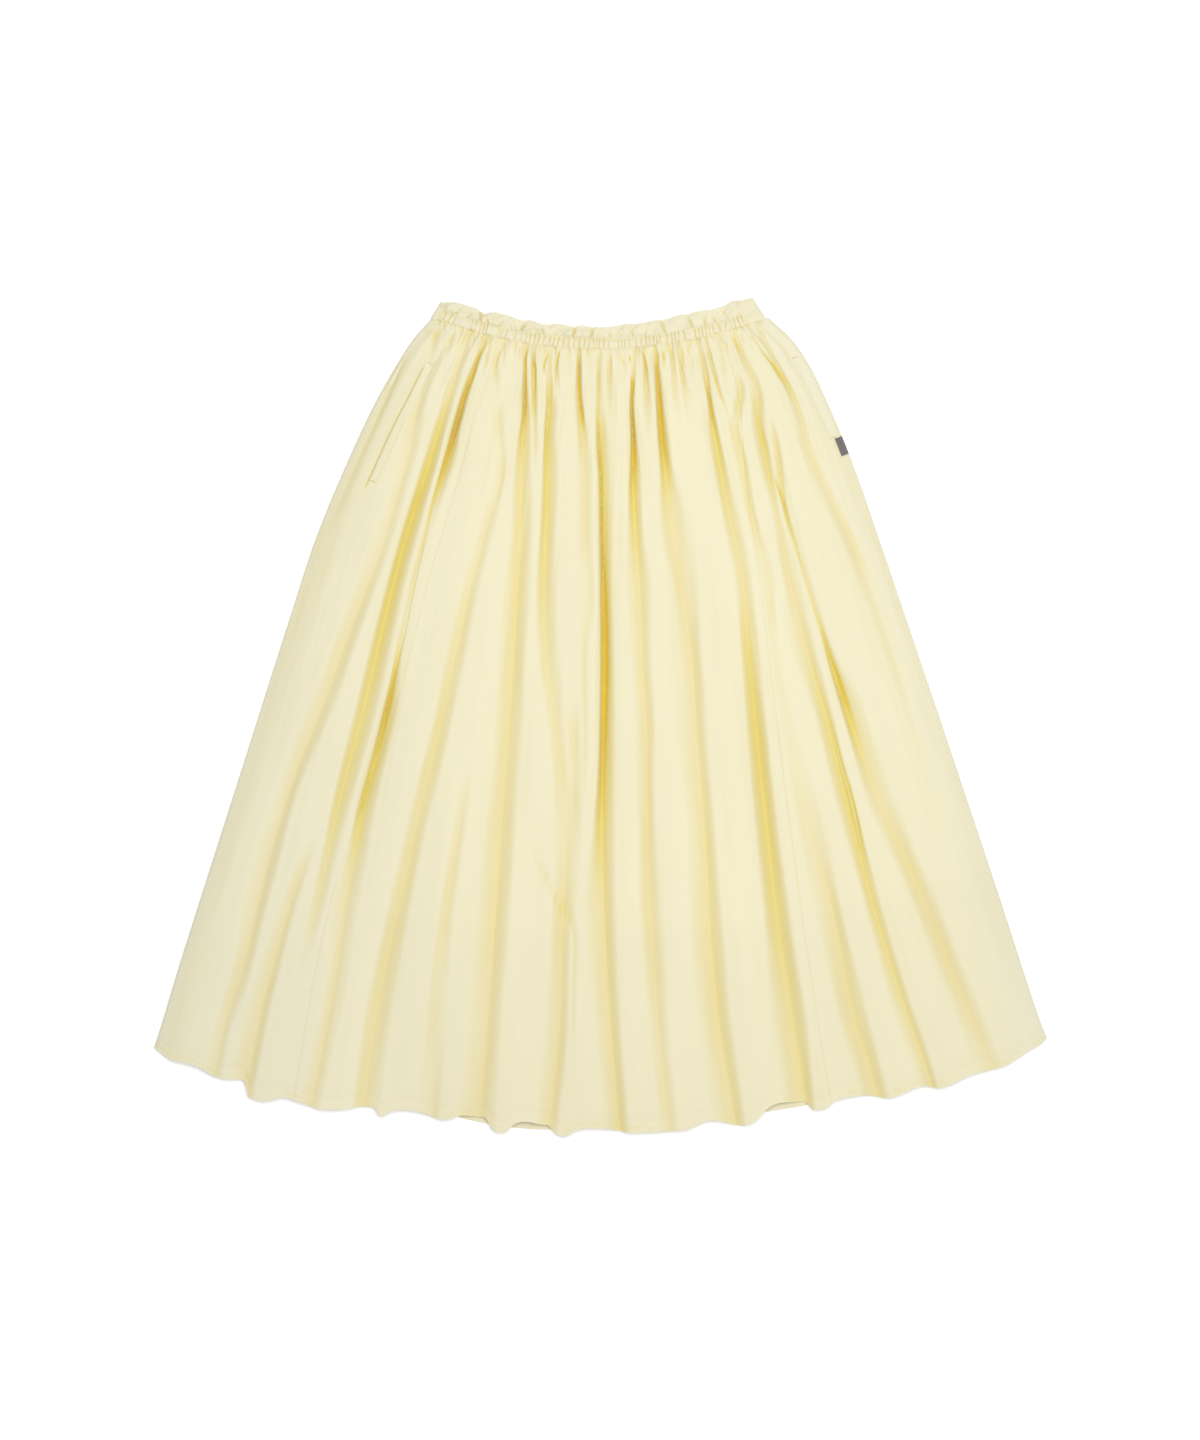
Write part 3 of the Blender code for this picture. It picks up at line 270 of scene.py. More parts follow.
# Thin creases, where one fold laps over the next and the cloth goes in deep.
#   x       distance from the centre line
#   drop    distance down from CREASE_TOP
#   half    half its width
#   tone    how deep it goes in, and how much painted fold shade it gets, as a share
Bend = namedtuple("Bend", "x drop half tone")
CREASES = tuple(rows_of(Bend, *places) for places in (
    ((-108, 16, 0.9, 0.0), (-110, 19, 0.9, 0.5), (-116, 25, 1.0, 0.5), (-123, 35, 1.2, 0.9),
     (-131, 58, 1.8, 1.0), (-140, 81, 2.1, 1.0), (-146, 103, 2.3, 1.0), (-153, 124, 1.8, 1.0),
     (-160, 146, 1.3, 1.0), (-167, 170, 0.9, 0.8), (-173, 191, 0.8, 0.7), (-183, 240, 0.7, 0.5),
     (-193, 285, 0.7, 0.5), (-201, 326, 0.7, 0.5), (-209, 356, 1.2, 0.8), (-216, 389, 2.6, 0.9),
     (-224, 420, 2.4, 0.9), (-228, 446, 2.0, 0.0)),
    ((-155, 60, 0.7, 0.0), (-156, 67, 0.8, 0.3), (-160, 79, 0.8, 0.35), (-165, 95, 0.8, 0.0)),
    ((-141, 10, 0.9, 0.0), (-143, 14, 1.0, 0.45), (-147, 25, 0.9, 0.3), (-150, 32, 0.9, 0.0)),
    ((-148, 8, 0.9, 0.0), (-150, 14, 1.0, 0.35), (-154, 22, 1.0, 0.25), (-158, 30, 1.0, 0.0)),
    ((-128, 9, 0.8, 0.0), (-130, 20, 0.8, 0.35), (-134, 33, 0.8, 0.0)),
    ((-98, 20, 0.9, 0.0), (-102, 32, 1.0, 0.4), (-107, 44, 1.0, 0.5), (-109, 56, 0.9, 0.35),
     (-113, 67, 0.9, 0.0)),
    ((-109, 20, 1.3, 0.0), (-113, 31, 1.5, 0.3), (-116, 43, 1.4, 0.3), (-118, 56, 1.4, 0.0)),
    ((-74, 28, 0.9, 0.0), (-76, 34, 1.1, 0.8), (-77, 46, 1.2, 1.0), (-77, 78, 1.1, 1.0),
     (-78, 93, 1.3, 1.0), (-79, 105, 1.6, 0.8), (-82, 120, 2.0, 0.5), (-85, 140, 2.4, 0.0)),
    ((-68, 38, 0.9, 0.0), (-68, 43, 1.2, 0.85), (-67, 54, 1.3, 1.0), (-67, 67, 1.1, 0.9),
     (-68, 83, 1.1, 0.55), (-68, 96, 1.2, 0.0)),
    ((-82, 27, 0.7, 0.0), (-82, 31, 0.8, 0.35), (-81, 38, 0.7, 0.0)),
    ((-52, 31, 0.9, 0.0), (-55, 38, 1.0, 0.75), (-58, 50, 0.9, 0.7), (-57, 58, 0.8, 0.0)),
    ((-41, 29, 0.9, 0.0), (-43, 36, 1.0, 0.85), (-45, 49, 0.9, 0.8), (-46, 65, 1.0, 0.4),
     (-47, 86, 1.2, 0.0)),
    ((-53, 58, 1.2, 0.0), (-52, 76, 1.5, 0.4), (-52, 92, 1.6, 0.55), (-54, 108, 1.6, 0.65),
     (-56, 128, 1.5, 0.6), (-56, 155, 1.6, 0.4), (-55, 190, 1.8, 0.3), (-55, 240, 2.0, 0.0)),
    ((-22, 36, 0.8, 0.0), (-22, 46, 1.1, 0.9), (-22, 64, 1.3, 1.0), (-21, 82, 1.3, 1.0),
     (-19, 96, 1.7, 0.95), (-18, 108, 2.0, 0.7), (-17, 120, 2.4, 0.35), (-16, 140, 3.0, 0.0)),
    ((-13, 28, 0.6, 0.0), (-13, 33, 0.7, 0.6), (-12, 40, 0.6, 0.0)),
    ((-2, 50, 0.7, 0.0), (-2, 60, 0.8, 0.55), (-2, 90, 0.7, 0.4), (-2, 115, 0.9, 0.7), (-1, 140, 1.1, 0.8),
     (1, 165, 1.4, 0.8), (1, 190, 1.2, 0.8), (1, 225, 1.0, 0.85), (3, 260, 1.4, 0.9), (4, 290, 2.8, 1.0),
     (5, 340, 3.0, 1.0), (4, 400, 3.0, 1.0), (2, 455, 2.8, 0.9), (1, 500, 3.4, 0.75), (1, 545, 4.0, 0.4),
     (3, 600, 5.0, 0.0)),
    ((1, 32, 0.6, 0.0), (1, 37, 0.7, 0.5), (1, 45, 0.6, 0.0)),
    ((10, 31, 0.8, 0.0), (11, 42, 0.9, 0.4), (9, 58, 1.0, 0.35), (8, 76, 1.0, 0.0)),
    ((20, 33, 0.8, 0.0), (23, 43, 1.0, 0.5), (26, 54, 1.0, 0.0)),
    ((30, 35, 0.9, 0.0), (30, 40, 1.0, 0.8), (31, 47, 0.8, 0.0)),
    ((33, 57, 1.4, 0.0), (33, 64, 1.8, 0.95), (33, 72, 1.6, 1.0), (32, 84, 1.1, 1.0), (33, 106, 1.2, 1.0),
     (34, 130, 1.8, 1.0), (34, 148, 2.8, 0.95), (33, 168, 3.4, 0.75), (34, 200, 3.4, 0.6),
     (36, 235, 3.4, 0.45), (38, 270, 4.0, 0.0)),
    ((43, 29, 0.8, 0.0), (44, 35, 1.1, 0.8), (46, 46, 1.1, 0.9), (47, 55, 1.0, 0.6), (47, 68, 1.2, 0.0)),
    ((60, 28, 0.8, 0.0), (59, 38, 0.9, 0.7), (58, 50, 1.0, 1.0), (59, 64, 1.4, 1.0), (61, 86, 2.1, 1.0),
     (62, 103, 2.5, 1.0), (63, 120, 3.0, 0.95), (66, 140, 3.6, 0.8), (69, 165, 4.4, 0.5),
     (72, 195, 5.0, 0.0)),
    ((63, 29, 0.8, 0.0), (64, 36, 0.9, 0.75), (65, 44, 0.8, 0.5), (65, 55, 0.8, 0.0)),
    ((70, 24, 0.8, 0.0), (72, 31, 0.9, 0.65), (74, 44, 0.9, 0.35), (76, 56, 0.9, 0.0)),
    ((77, 23, 0.7, 0.0), (79, 35, 0.8, 0.55), (82, 47, 0.8, 0.5), (86, 58, 0.7, 0.0)),
    ((82, 25, 0.8, 0.0), (84, 34, 0.9, 0.65), (86, 46, 0.8, 0.5), (89, 57, 0.8, 0.0)),
    ((90, 20, 1.0, 0.0), (90, 31, 1.3, 0.5), (92, 42, 1.1, 0.0)),
    ((88, 64, 0.7, 0.0), (92, 76, 1.0, 0.3), (96, 90, 1.2, 0.0)),
    ((105, 28, 1.2, 0.0), (107, 45, 1.3, 0.3), (110, 62, 1.2, 0.5), (111, 75, 1.2, 0.8),
     (113, 88, 1.3, 0.9), (115, 101, 1.4, 0.9), (118, 115, 1.7, 0.75), (122, 134, 2.2, 0.6),
     (127, 160, 2.6, 0.4), (133, 190, 3.0, 0.0)),
    ((107, 18, 0.7, 0.0), (109, 32, 0.8, 0.4), (113, 46, 0.8, 0.4), (118, 62, 0.9, 0.55),
     (123, 78, 1.0, 0.6), (128, 90, 1.1, 0.35), (133, 104, 1.2, 0.0)),
    ((122, 17, 0.7, 0.0), (127, 24, 0.8, 0.35), (130, 36, 0.8, 0.3), (131, 44, 0.7, 0.0)),
    ((136, 12, 1.0, 0.0), (138, 22, 2.0, 0.55), (142, 32, 2.4, 0.5), (146, 42, 3.4, 0.0)),
    ((143, 11, 0.7, 0.0), (146, 20, 0.8, 0.4), (148, 27, 0.7, 0.0)),
    ((152, 10, 0.7, 0.0), (156, 18, 0.8, 0.35), (162, 27, 0.8, 0.45), (169, 37, 1.0, 0.7),
     (176, 46, 1.8, 0.85), (184, 58, 2.8, 0.7), (192, 70, 3.4, 0.4), (198, 84, 3.6, 0.0)),
    ((160, 90, 1.6, 0.0), (163, 108, 1.8, 0.4), (166, 120, 1.8, 0.65), (169, 131, 1.8, 0.6),
     (174, 146, 1.6, 0.0)),
    ((177, 156, 1.2, 0.0), (181, 170, 1.8, 0.6), (187, 186, 1.6, 0.85), (191, 202, 0.9, 0.6),
     (199, 228, 0.7, 0.45), (207, 257, 0.7, 0.45), (215, 284, 0.7, 0.45), (222, 306, 0.8, 0.5),
     (228, 322, 0.9, 0.5), (235, 344, 1.6, 0.8), (244, 368, 2.4, 0.95), (252, 394, 3.2, 0.85),
     (259, 422, 3.6, 0.6), (268, 454, 4.0, 0.0)),
    ((212, 335, 0.7, 0.0), (222, 372, 0.8, 0.35), (231, 398, 0.8, 0.5), (239, 424, 0.9, 0.65),
     (248, 456, 1.0, 0.8), (257, 486, 1.2, 0.9), (264, 515, 1.4, 0.9), (270, 545, 1.8, 0.6),
     (280, 585, 2.4, 0.0)),
    ((-80, 165, 0.9, 0.0), (-80, 178, 1.2, 0.3), (-79, 200, 1.3, 0.0)),
    ((184, 243, 0.7, 0.0), (189, 256, 0.8, 0.35), (193, 268, 0.7, 0.0)),
))
CREASE_TOP = 408.4         # height in the plan from which the drops are measured
CREASE_FADE = 1.5          # a crease has died out this many of its half widths from its middle
CREASE_DEPTH = 1.1         # a crease of full tone goes this much deeper than its fold
CREASE_PAINTED_SHADE = 0.95         # and gets this much painted fold shade
SHIRRED_PAINTED_SHADE = 0.6         # the painted fold shade of the wider grooves just below the waist seam counts by this share
SHIRRED_REACH = 0.16       # which grows to one this far down

# Lower edge of the front, as a drop below the section curve, from left to right.
EdgePoint = namedtuple("EdgePoint", "x drop")
FRONT_HEM = rows_of(
    EdgePoint,
    (-459, 2), (-440, 7.4), (-429, 5.6), (-419, 4.4), (-409, 5.3), (-397, 8.6), (-383, 7), (-367, 3),
    (-361, 19), (-345, 18), (-322, 8), (-290, 11), (-272, 8), (-245, -1), (-233, -3), (-226, 5), (-213, -3),
    (-190, -7), (-162, -2), (-140, -9), (-120, -9), (-110, 3), (-99, 4.5), (-90, -4), (-56, -6), (-46, 2),
    (-37, 4.7), (-24, -2), (0, -4), (34, 1), (85, 1), (112, -7), (147, 2), (160, -1), (172, -12),
    (208, -13), (221, -2), (233, -2.5), (243, -9), (272, -7), (299, 2), (328, -2), (352, 6), (383, 2),
    (412, 4.5), (428, 1.4), (442, -2.4), (453, -4), (459, -8),
)
# The same for the back, which shows below the front here and there.
BACK_HEM = rows_of(
    EdgePoint,
    (-459, 2), (-450, 3.6), (-436, 4), (-380, -3), (-300, 0), (-200, -12), (-160, -8), (-132, -4),
    (-82, -0.5), (-50, -1), (-10, -8), (85, -6), (120, -11), (180, -8), (208, -8), (260, -14), (330, -7),
    (400, -4), (428, -1), (442, -3), (453, -4.2), (459, -8),
)
HEM_SHAPE_START = 0.88     # above this place a panel isn't moved by its lower edge

# Layers of smooth noise on the panels.
#   height  how much it adds or takes away
#   waves   its changes across the whole skirt
#   run     its pitch down the skirt, in mm
#   seed    of its random numbers
Uneven = namedtuple("Uneven", "height waves run seed")
# Layers of smooth noise on a band, such as the hem or the waist, with the same height and seed.
#   pitch   along the band, in mm
#   slant   how far it moves along, in pitches, over the band's height
#   waves   its changes over the band's height
Ripple = namedtuple("Ripple", "height pitch slant waves seed")
MIDDLE = 0.5               # share of the height at which noise that doesn't change over it is taken

# Small relief of the cloth.
SLACK = rows_of(           # drape between the folds
    Uneven, (0.5, 34, 150, 12), (0.225, 80, 80, 13), (0.125, 170, 60, 19),
)
SHIRRED = Uneven(0.9, 95, 45, 16)    # fine gathers below the waist seam
SHIRRED_RUN = 60.0         # and how far down they fade
EDGE_CALM = 8.0            # the drape dies out this near to the sides
SEAM_PINCH = 0.7           # little gathers pinched in by the waist seam
SEAM_PINCH_PITCH = 2.3
SEAM_PINCH_RUN = 12.0
SEAM_PINCH_FADE = 15.0     # how far down they fade
SEAM_SINK = 0.4            # the cloth dips into the waist seam by this
SEAM_SINK_RUN = 1.4
SEAM_DIP = 0.22            # and into the seams between the panels
SEAM_HALF = 1.5
SEAM_SHARP = 0.3
MOUTH_DIP = 0.9            # and into the left pocket's mouth
MOUTH_HALF = 1.8
MOUTH_SHARP = 0.5
MOUTH_FADE = 0.01          # share of the skirt over which the mouth's dip starts and ends
MOUTH_TONE = 0.6           # how deep its crease goes in, and how much painted fold shade it gets, as a share
MOUTH_CREASE = 0.7         # and half its width
HEM_PUCKER = 0.45          # slanted puckers of the turned-up hem
HEM_PUCKER_PITCH = 4.6
HEM_PUCKER_SLANT = 7.0     # sideways over the hem's height
HEM_GROUPS = Ripple(1.0, 24, 0, 1, 14)    # the puckers come in groups
HEM_DRIFT = Ripple(0.4, 11, 0, 1, 15)     # and are unevenly spaced
HEM_STITCH_DIP = 0.35      # the hem's stitching sinks in by this
HEM_STITCH_HALF = 1.2
BACK_FOLD_SHARE = 0.1      # the back repeats the front's folds, this much shallower
BACK_FOLD_EDGE = 0.04      # and not this near to its sides, as a share of its width
BACK_PAINTED_SHADE = 0.45           # the back's hollows get this share of the front's painted fold shade

# Painted shade of the cloth, standing in for how the light falls on it: 0 is its plain colour and 1 its
# shaded one.
LEFT_MARGIN = 30.0         # the painted shade and painted cooler light change towards the side edges over this
RIGHT_MARGIN = 48.0
INSIDE_EDGE = 0.745        # an inner layer ends here, and the cloth is painted darker below it
INSIDE_FADE = 0.008
INSIDE_START = -250.0      # but only to the right of this
INSIDE_START_FADE = 40.0
PLAIN_SHADE = 0.12         # shade of plain cloth
INSIDE_SHADE = 0.14        # how much darker it looks
HEM_SHADE = 0.10           # the shade grows by this down to the hem
# painted shade along the left edge
MARGIN_SHADE = 0.45
MARGIN_GROWTH = (0.7, 1.3)    # its share at the waist and at the hem
# painted shade in soft streaks along the fan, standing in for the shading of the drape
SHADE_STREAKS = rows_of(Uneven, (0.16, 26, 260, 17), (0.08, 75, 130, 18))
COOL_START = -60.0         # the skirt's left side is painted in cooler light to the left of this
COOL_RUN = 330.0           # over this
LEFT_COOL = 0.5            # up to this share

# Kinds of stitching: the pitch and the length of a stitch.
Stitching = namedtuple("Stitching", "pitch length")
HEM_STITCHING = Stitching(3.0, 2.1)
WAIST_STITCHING = Stitching(2.6, 1.7)
POCKET_STITCHING = Stitching(3.0, 2.0)
BAR_STITCHING = Stitching(1.5, 1.2)
SEAM_STITCHING = Stitching(3.4, 2.0)
HEM_STITCH_RISE = 0.6      # the hem is stitched this far below its upper edge
WAIST_STITCHED = (0.09, 0.91)    # where the casing is stitched, as shares of its height
POCKET_STITCHED = 0.84     # where a pocket's edge is stitched, as a share of its width
BAR_ROWS = (-0.7, 0.7, 4)  # rows of the bars at a pocket's ends: the first, the last and how many
BAR_REACH = (1.5, 8.0)     # and how far from the mouth they start and end
BAR_FALL = 0.25            # how far down they run on the way
STITCH_LIFT = 0.08         # middle of a thread above its cloth
WAIST_STITCH_LIFT = 0.05
POCKET_STITCH_LIFT = -0.1
BAR_STITCH_LIFT = 0.1
UNDER_STITCH_LIFT = 0.06   # and below it, on the underside
UNDER_HEM_ENDS = (-448, 450)     # where the stitches of the underside start and end
WAIST_STITCH_INSET = 4     # of the waist's stitches from its ends
PATH_POINTS = 2400         # points along a long stitched line
# A stitch's cross-sections: the share of its length, the share of its radius and the rise there.
Ring = namedtuple("Ring", "share size lift")
STITCH_RINGS = rows_of(Ring, (0.0, 0.4, -0.25), (0.25, 1.0, 0.05), (0.75, 1.0, 0.05), (1.0, 0.4, -0.25))
STITCH_RADIUS = 0.18
STITCH_SIDES = 5

# Rows of topstitching on the narrow folds of the front.
#   down    places down the skirt
#   x       distances from the centre line there
#   beside  how far to the right of the fold the stitches run
Topstitch = namedtuple("Topstitch", "down x beside")
TOPSTITCHED = (
    Topstitch((0.01, 0.115, 0.193, 0.300, 0.387, 0.431), (-120, -150, -166, -188, -203, -211), -3.0),
    Topstitch((0.082, 0.215, 0.328, 0.402, 0.477, 0.555), (120, 162, 193, 211, 227, 245), 2.0),
)

# Folds of the frill: grooves between its ruffle waves.
#   x       distance from the centre line at the frill's seam
#   depth   the groove's depth
#   lean    how far it moves to the right up to the free edge
#   half    half its width there
#   reach   share of the frill's height at which it has half died out
FrillFold = namedtuple("FrillFold", "x depth lean half reach")
FRILL_FOLDS = rows_of(
    FrillFold,
    (-159, 1.8, -1.5, 3.5, 0.7), (-149, 2.2, 4.0, 4.0, 0.6), (-139, 1.8, 4.0, 4.0, 0.5),
    (-126, 3.4, -2.0, 4.0, 1.3), (-118, 2.4, -6.0, 4.0, 0.5), (-107, 2.2, 4.0, 5.0, 0.5),
    (-95, 1.2, -3.0, 4.5, 0.4), (-85, 3.2, 5.0, 5.0, 0.8), (-70, 1.0, 3.0, 6.0, 0.5),
    (-60, 2.4, -4.0, 5.0, 0.7), (-48, 1.4, 3.0, 4.0, 0.5), (-30, 3.4, 3.0, 4.5, 1.1),
    (-19, 1.0, -3.0, 4.0, 0.4), (-10, 3.2, 1.0, 4.5, 0.9), (1, 1.0, 3.0, 4.5, 0.4),
    (11, 2.4, -3.0, 5.0, 0.6), (22, 1.1, 3.0, 4.0, 0.4), (35, 2.4, -3.0, 5.0, 0.7),
    (47, 2.2, 4.0, 4.5, 0.5), (57, 1.0, -2.0, 4.0, 0.4), (69, 2.8, -4.0, 5.0, 1.0),
    (81, 1.0, 4.0, 4.0, 0.4), (90, 1.4, 2.0, 4.0, 0.5), (98, 2.7, -4.0, 4.5, 0.8),
    (110, 2.4, 3.0, 4.5, 0.6), (122, 2.3, -3.0, 4.0, 0.6), (135, 1.8, -4.0, 4.5, 0.8),
    (149, 1.2, 2.0, 4.0, 0.5),
)
# Free edge of the frill, as a rise above its plain height.
EdgeRise = namedtuple("EdgeRise", "x rise")
FRILL_EDGE = rows_of(
    EdgeRise,
    (-166, -4.5), (-161, -2.4), (-154, 0.2), (-138, 0.6), (-130, -0.6), (-125, -3.4), (-119, -0.6),
    (-100, 0.8), (-87, -0.8), (-74, 0.2), (-60, -1.8), (-44, 0.6), (-30, -0.9), (-18, 0.6), (-9, -0.9),
    (12, -0.4), (28, 1.6), (36, 0.8), (60, 2.6), (69, 2.0), (84, 3.8), (97, 3.2), (104, 4.0), (112, 3.2),
    (122, 2.0), (135, 2.0), (148, 3.6), (160, 0.6), (168, 0.2),
)
FRILL_LIFT = 2.2           # the frill's waves stand above the casing by this
FRILL_START = 0.015        # share of a half wave gone by at the frill's seam
FRILL_END = 0.80           # and at its free edge
FRILL_FOLD_START = 0.45    # share of its width that a fold has at the seam
FRILL_FOLD_SHARE = (0.75, 0.9)     # share of its depth at the seam and at the free edge
FRILL_FOLD_FADE = 0.6      # a fold dies out over this share of the frill's height
FRILL_SHARP = 0.9
FRILL_FLUTTER = Ripple(0.35, 5, 0, 1, 26)        # unevenness of its free edge
FRILL_REAR_SHARE = 0.5     # the layer behind follows that edge by this share
FRILL_REAR_DROP = 0.4      # and lies lower by this
FRILL_CURVE = 1.5          # power by which the edge's waves grow over the frill's height
FRILL_CREASES = Ripple(0.5, 2.4, 3.5, 2.8, 25)
FRILL_CREASE_SHARE = (1.0, 0.35)   # share of their depth at the seam and at the free edge
FRILL_PUFFS = Ripple(1.3, 7, -2.5, 2.4, 27)
SWELL_POWER = 0.7          # how blunt the swell of casing and frill is
CASING_SWELL = 1.1         # the casing stands out round its elastic
CASING_SINK = 0.1          # and is drawn in at its seams
CASING_RIB_PITCH = 5.0     # between the ribs of the shirring
CASING_RIB_DEPTH = 1.4
RIB_SHARP = 7              # power that narrows the valleys between the ribs
RIB_DRIFT = Ripple(1.1, 9, 0, 1, 21)             # uneven spacing of the ribs
RIB_LEAN = Ripple(0.5, 15, 0, 1, 22)             # how far a rib slants
RIB_SHARE = 0.62           # share of that depth that a valley has in the mean
RIB_CHANGE = Ripple(0.38, 8, 0, 1.5, 23)         # and its change along the casing
CASING_WAVES = Ripple(0.45, 3.1, 0, 2.5, 24)
RIBS_END = 148.0           # to the right of this the waist lies smooth
SMOOTH_RUN = 8.0
SMOOTH_SHARE = 0.2         # share of the relief that it keeps there
WAIST_REACH = (0.5, 0.9, 1.5, 2.4, 4.0)          # how far off the waist's folds enclose a place
WAIST_PAINTED_SHADE = 0.55          # the waist's short folds get this share of the skirt's painted fold shade
WAIST_PAINTED_LIGHT = 0.3           # mean painted shade and painted cooler light of the waist, and how much they change
WAIST_SHADE_PITCH = (7.0, 9.0)   # pitch of the painted shade's changes, across and up
WAIST_COOL_GAIN = 1.6      # the waist's painted cooler light grows towards its left end this much faster than the skirt's
CASING_SEAMS = (0.06, 0.94)      # stitched lines, where painted seam shade is laid, as shares of the casing's height
FRILL_SEAMS = (0.03,)      # and of the frill's
SEAM_BLEND = 0.22          # at its seam a band follows the cloth beside it, up to this share of its height
SEAM_SHARE = 0.06          # width of a stitched line's painted shade, as a share of the band's height
SEAM_PAINTED_SHADE = 0.13           # how much golden painted shade it gets
SEAM_CHANGE = Ripple(0.7, 2.2, 0, 3, 31)         # and how that changes along it
FRILL_SCALLOP = 0.35       # the frill's edge dips at each fold by this share of its depth
LEFT_END_FOOT = -8.0       # the left end stands out sideways by this at the waist seam
LEFT_END_LEAN = -4.5       # the waist's ends lean sideways by this, up to the frill's edge
RIGHT_END_LEAN = -5.5
END_LEAN_RUN = 45.0        # and both die out over this

# The flat cuts of what shows: greatest width and length in metres, area in square metres, and what
# each lies on or hangs from.
Cut = namedtuple("Cut", "panel width length area rests_on")

# ---------------------------------------------------------------------------
# Mesh density
# ---------------------------------------------------------------------------
TOP_ROWS = 36              # rows from the waist seam to TOP_END
TOP_CROWDING = 1.35        # power by which they crowd towards the seam
TOP_END = 0.16
BODY_ROWS = 64             # rows from there to the hem's stitching
HEM_ROWS = 10
LEFT_COLUMNS = 120
CENTRE_COLUMNS = 430
RIGHT_COLUMNS = 180
BACK_COLUMNS = 330
WRAP_COLUMNS = 36
TURN_COLUMNS = 6
WAIST_COLUMNS = 900
WAIST_BACK_COLUMNS = 240
CASING_ROWS = 16
FRILL_ROWS = 18
BAND_ROWS = 90
BAND_COLUMNS = 12
TAB_ROWS = 22
TAB_COLUMNS = 12
SHARP_ANGLE = math.radians(45)    # edges sharper than this aren't smoothed over


# ---------------------------------------------------------------------------
# Curves through tables
# ---------------------------------------------------------------------------
def smooth_curve(knots, values, at):
    """Cubic through the table's points, with slopes taken from their neighbours."""
    knots = np.asarray(knots, float)
    values = np.asarray(values, float)
    at = np.clip(np.asarray(at, float), knots[0], knots[-1])
    steps = np.diff(knots)
    secants = np.diff(values) / steps
    slopes = np.empty_like(values)
    slopes[1:-1] = (secants[:-1] * steps[1:] + secants[1:] * steps[:-1]) / (steps[1:] + steps[:-1])
    slopes[0] = secants[0]
    slopes[-1] = secants[-1]
    turning = secants[:-1] * secants[1:] <= 0
    slopes[1:-1] = np.where(turning, 0.0, slopes[1:-1])
    cell = np.clip(np.searchsorted(knots, at, side="right") - 1, 0, len(steps) - 1)
    t = (at - knots[cell]) / steps[cell]
    rise = (3 - 2 * t) * t * t
    start_slope = slopes[cell] * steps[cell]
    end_slope = slopes[cell + 1] * steps[cell]
    bend = start_slope * (t - 2 * t * t + t ** 3) + end_slope * (t ** 3 - t * t)
    return values[cell] + (values[cell + 1] - values[cell]) * rise + bend


def section_value(column, down):
    falls = [row.fall for row in SECTIONS]
    return smooth_curve(falls, [getattr(row, column) for row in SECTIONS], np.asarray(down) * SKIRT_FALL)


def edge_value(table, column, x):
    return smooth_curve([point.x for point in table], [getattr(point, column) for point in table], x)


def ease(t):
    t = np.clip(t, 0.0, 1.0)
    return t * t * (3 - 2 * t)


def mix(start, end, t):
    return start + (end - start) * t


def lattice_noise(a, b, seed):
    """Smooth noise from -1 to 1 over two coordinates, with one value at each whole number."""
    size = 256
    table = np.random.default_rng(seed).uniform(-1.0, 1.0, (size, size))
    a, b = np.broadcast_arrays(np.asarray(a, float), np.asarray(b, float))
    low_a = np.floor(a).astype(int)
    low_b = np.floor(b).astype(int)
    ta = ease(a - low_a)
    tb = ease(b - low_b)
    lines = []
    for j in (0, 1):
        start = table[low_a % size, (low_b + j) % size]
        end = table[(low_a + 1) % size, (low_b + j) % size]
        lines.append(mix(start, end, ta))
    return mix(lines[0], lines[1], tb)


def ripple(layer, x, share):
    """Noise of a band at a place along it and a share of its height."""
    along = x / layer.pitch + share * layer.slant
    return layer.height * lattice_noise(along, share * layer.waves, layer.seed)


def uneven(layers, across, fall):
    """Sum of layers of noise at a share of the width and a distance down the skirt."""
    total = 0.0
    for layer in layers:
        total = total + layer.height * lattice_noise(across * layer.waves, fall / layer.run, layer.seed)
    return total


# ---------------------------------------------------------------------------
# The skirt's plan and the height of its upper layer
# ---------------------------------------------------------------------------
def plan_y(x, down, hem=None):
    """Y of a point of a panel; hem is the table of the panel's lower edge."""
    left = section_value("left", down)
    right = section_value("right", down)
    across = (x - left) / (right - left)
    bow = 1 - (2 * across - 1) ** 2
    y = WAIST_SEAM_Y - down * SKIRT_FALL - section_value("sag", down) * bow
    if hem is not None:
        drop = edge_value(hem, "drop", x)
        y = y - drop * ease((down - HEM_SHAPE_START) / (1 - HEM_SHAPE_START))
    return y


def side_seam(down):
    """Where the back's left edge, turned over onto the front, meets the front."""
    return section_value("left", down) + section_value("wrap", down)


def right_edge(down):
    """Where the front ends at the right, just inside the turned-over edge."""
    return section_value("right", down) - RIGHT_WRAP


def groove(distance, left, right, sharp):
    """1 in the groove and 0 past its two widths."""
    width = np.where(distance < 0, left, right)
    t = np.clip(1 - np.abs(distance) / width, 0.0, 1.0)
    return mix(ease(t), t * t, sharp)


def along_fold(fold, column, down):
    return smooth_curve([at.down for at in fold.places], [getattr(at, column) for at in fold.places], down)


def fold_depth(x, down):
    """Depth of the grooves and gathers below the fold tops."""
    depth = np.zeros(np.broadcast(x, down).shape)
    for fold in FOLDS:
        here = along_fold(fold, "depth", down) * (down >= fold.places[0].down)
        distance = x - along_fold(fold, "x", down)
        left = along_fold(fold, "left", down)
        right = along_fold(fold, "right", down)
        shape = groove(distance, left, right, fold.sharp)
        roll = groove(distance, ROLL_SPREAD * left, ROLL_SPREAD * right, 0.0)
        depth = depth + here * (shape + ROLL_SHARE * roll)
    for gather in GATHERS:
        share = np.clip(down / gather.run, 0.0, 1.0)
        start = mix(GATHER_START, 1.0, ease(down / GATHER_OPEN))
        here = gather.depth * start * (1 - ease(share))
        half = gather.half * mix(*GATHER_SPREAD, share)
        depth = depth + here * groove(x - mix(gather.x, gather.end, share), half, half, GATHER_SHARP)
    return depth


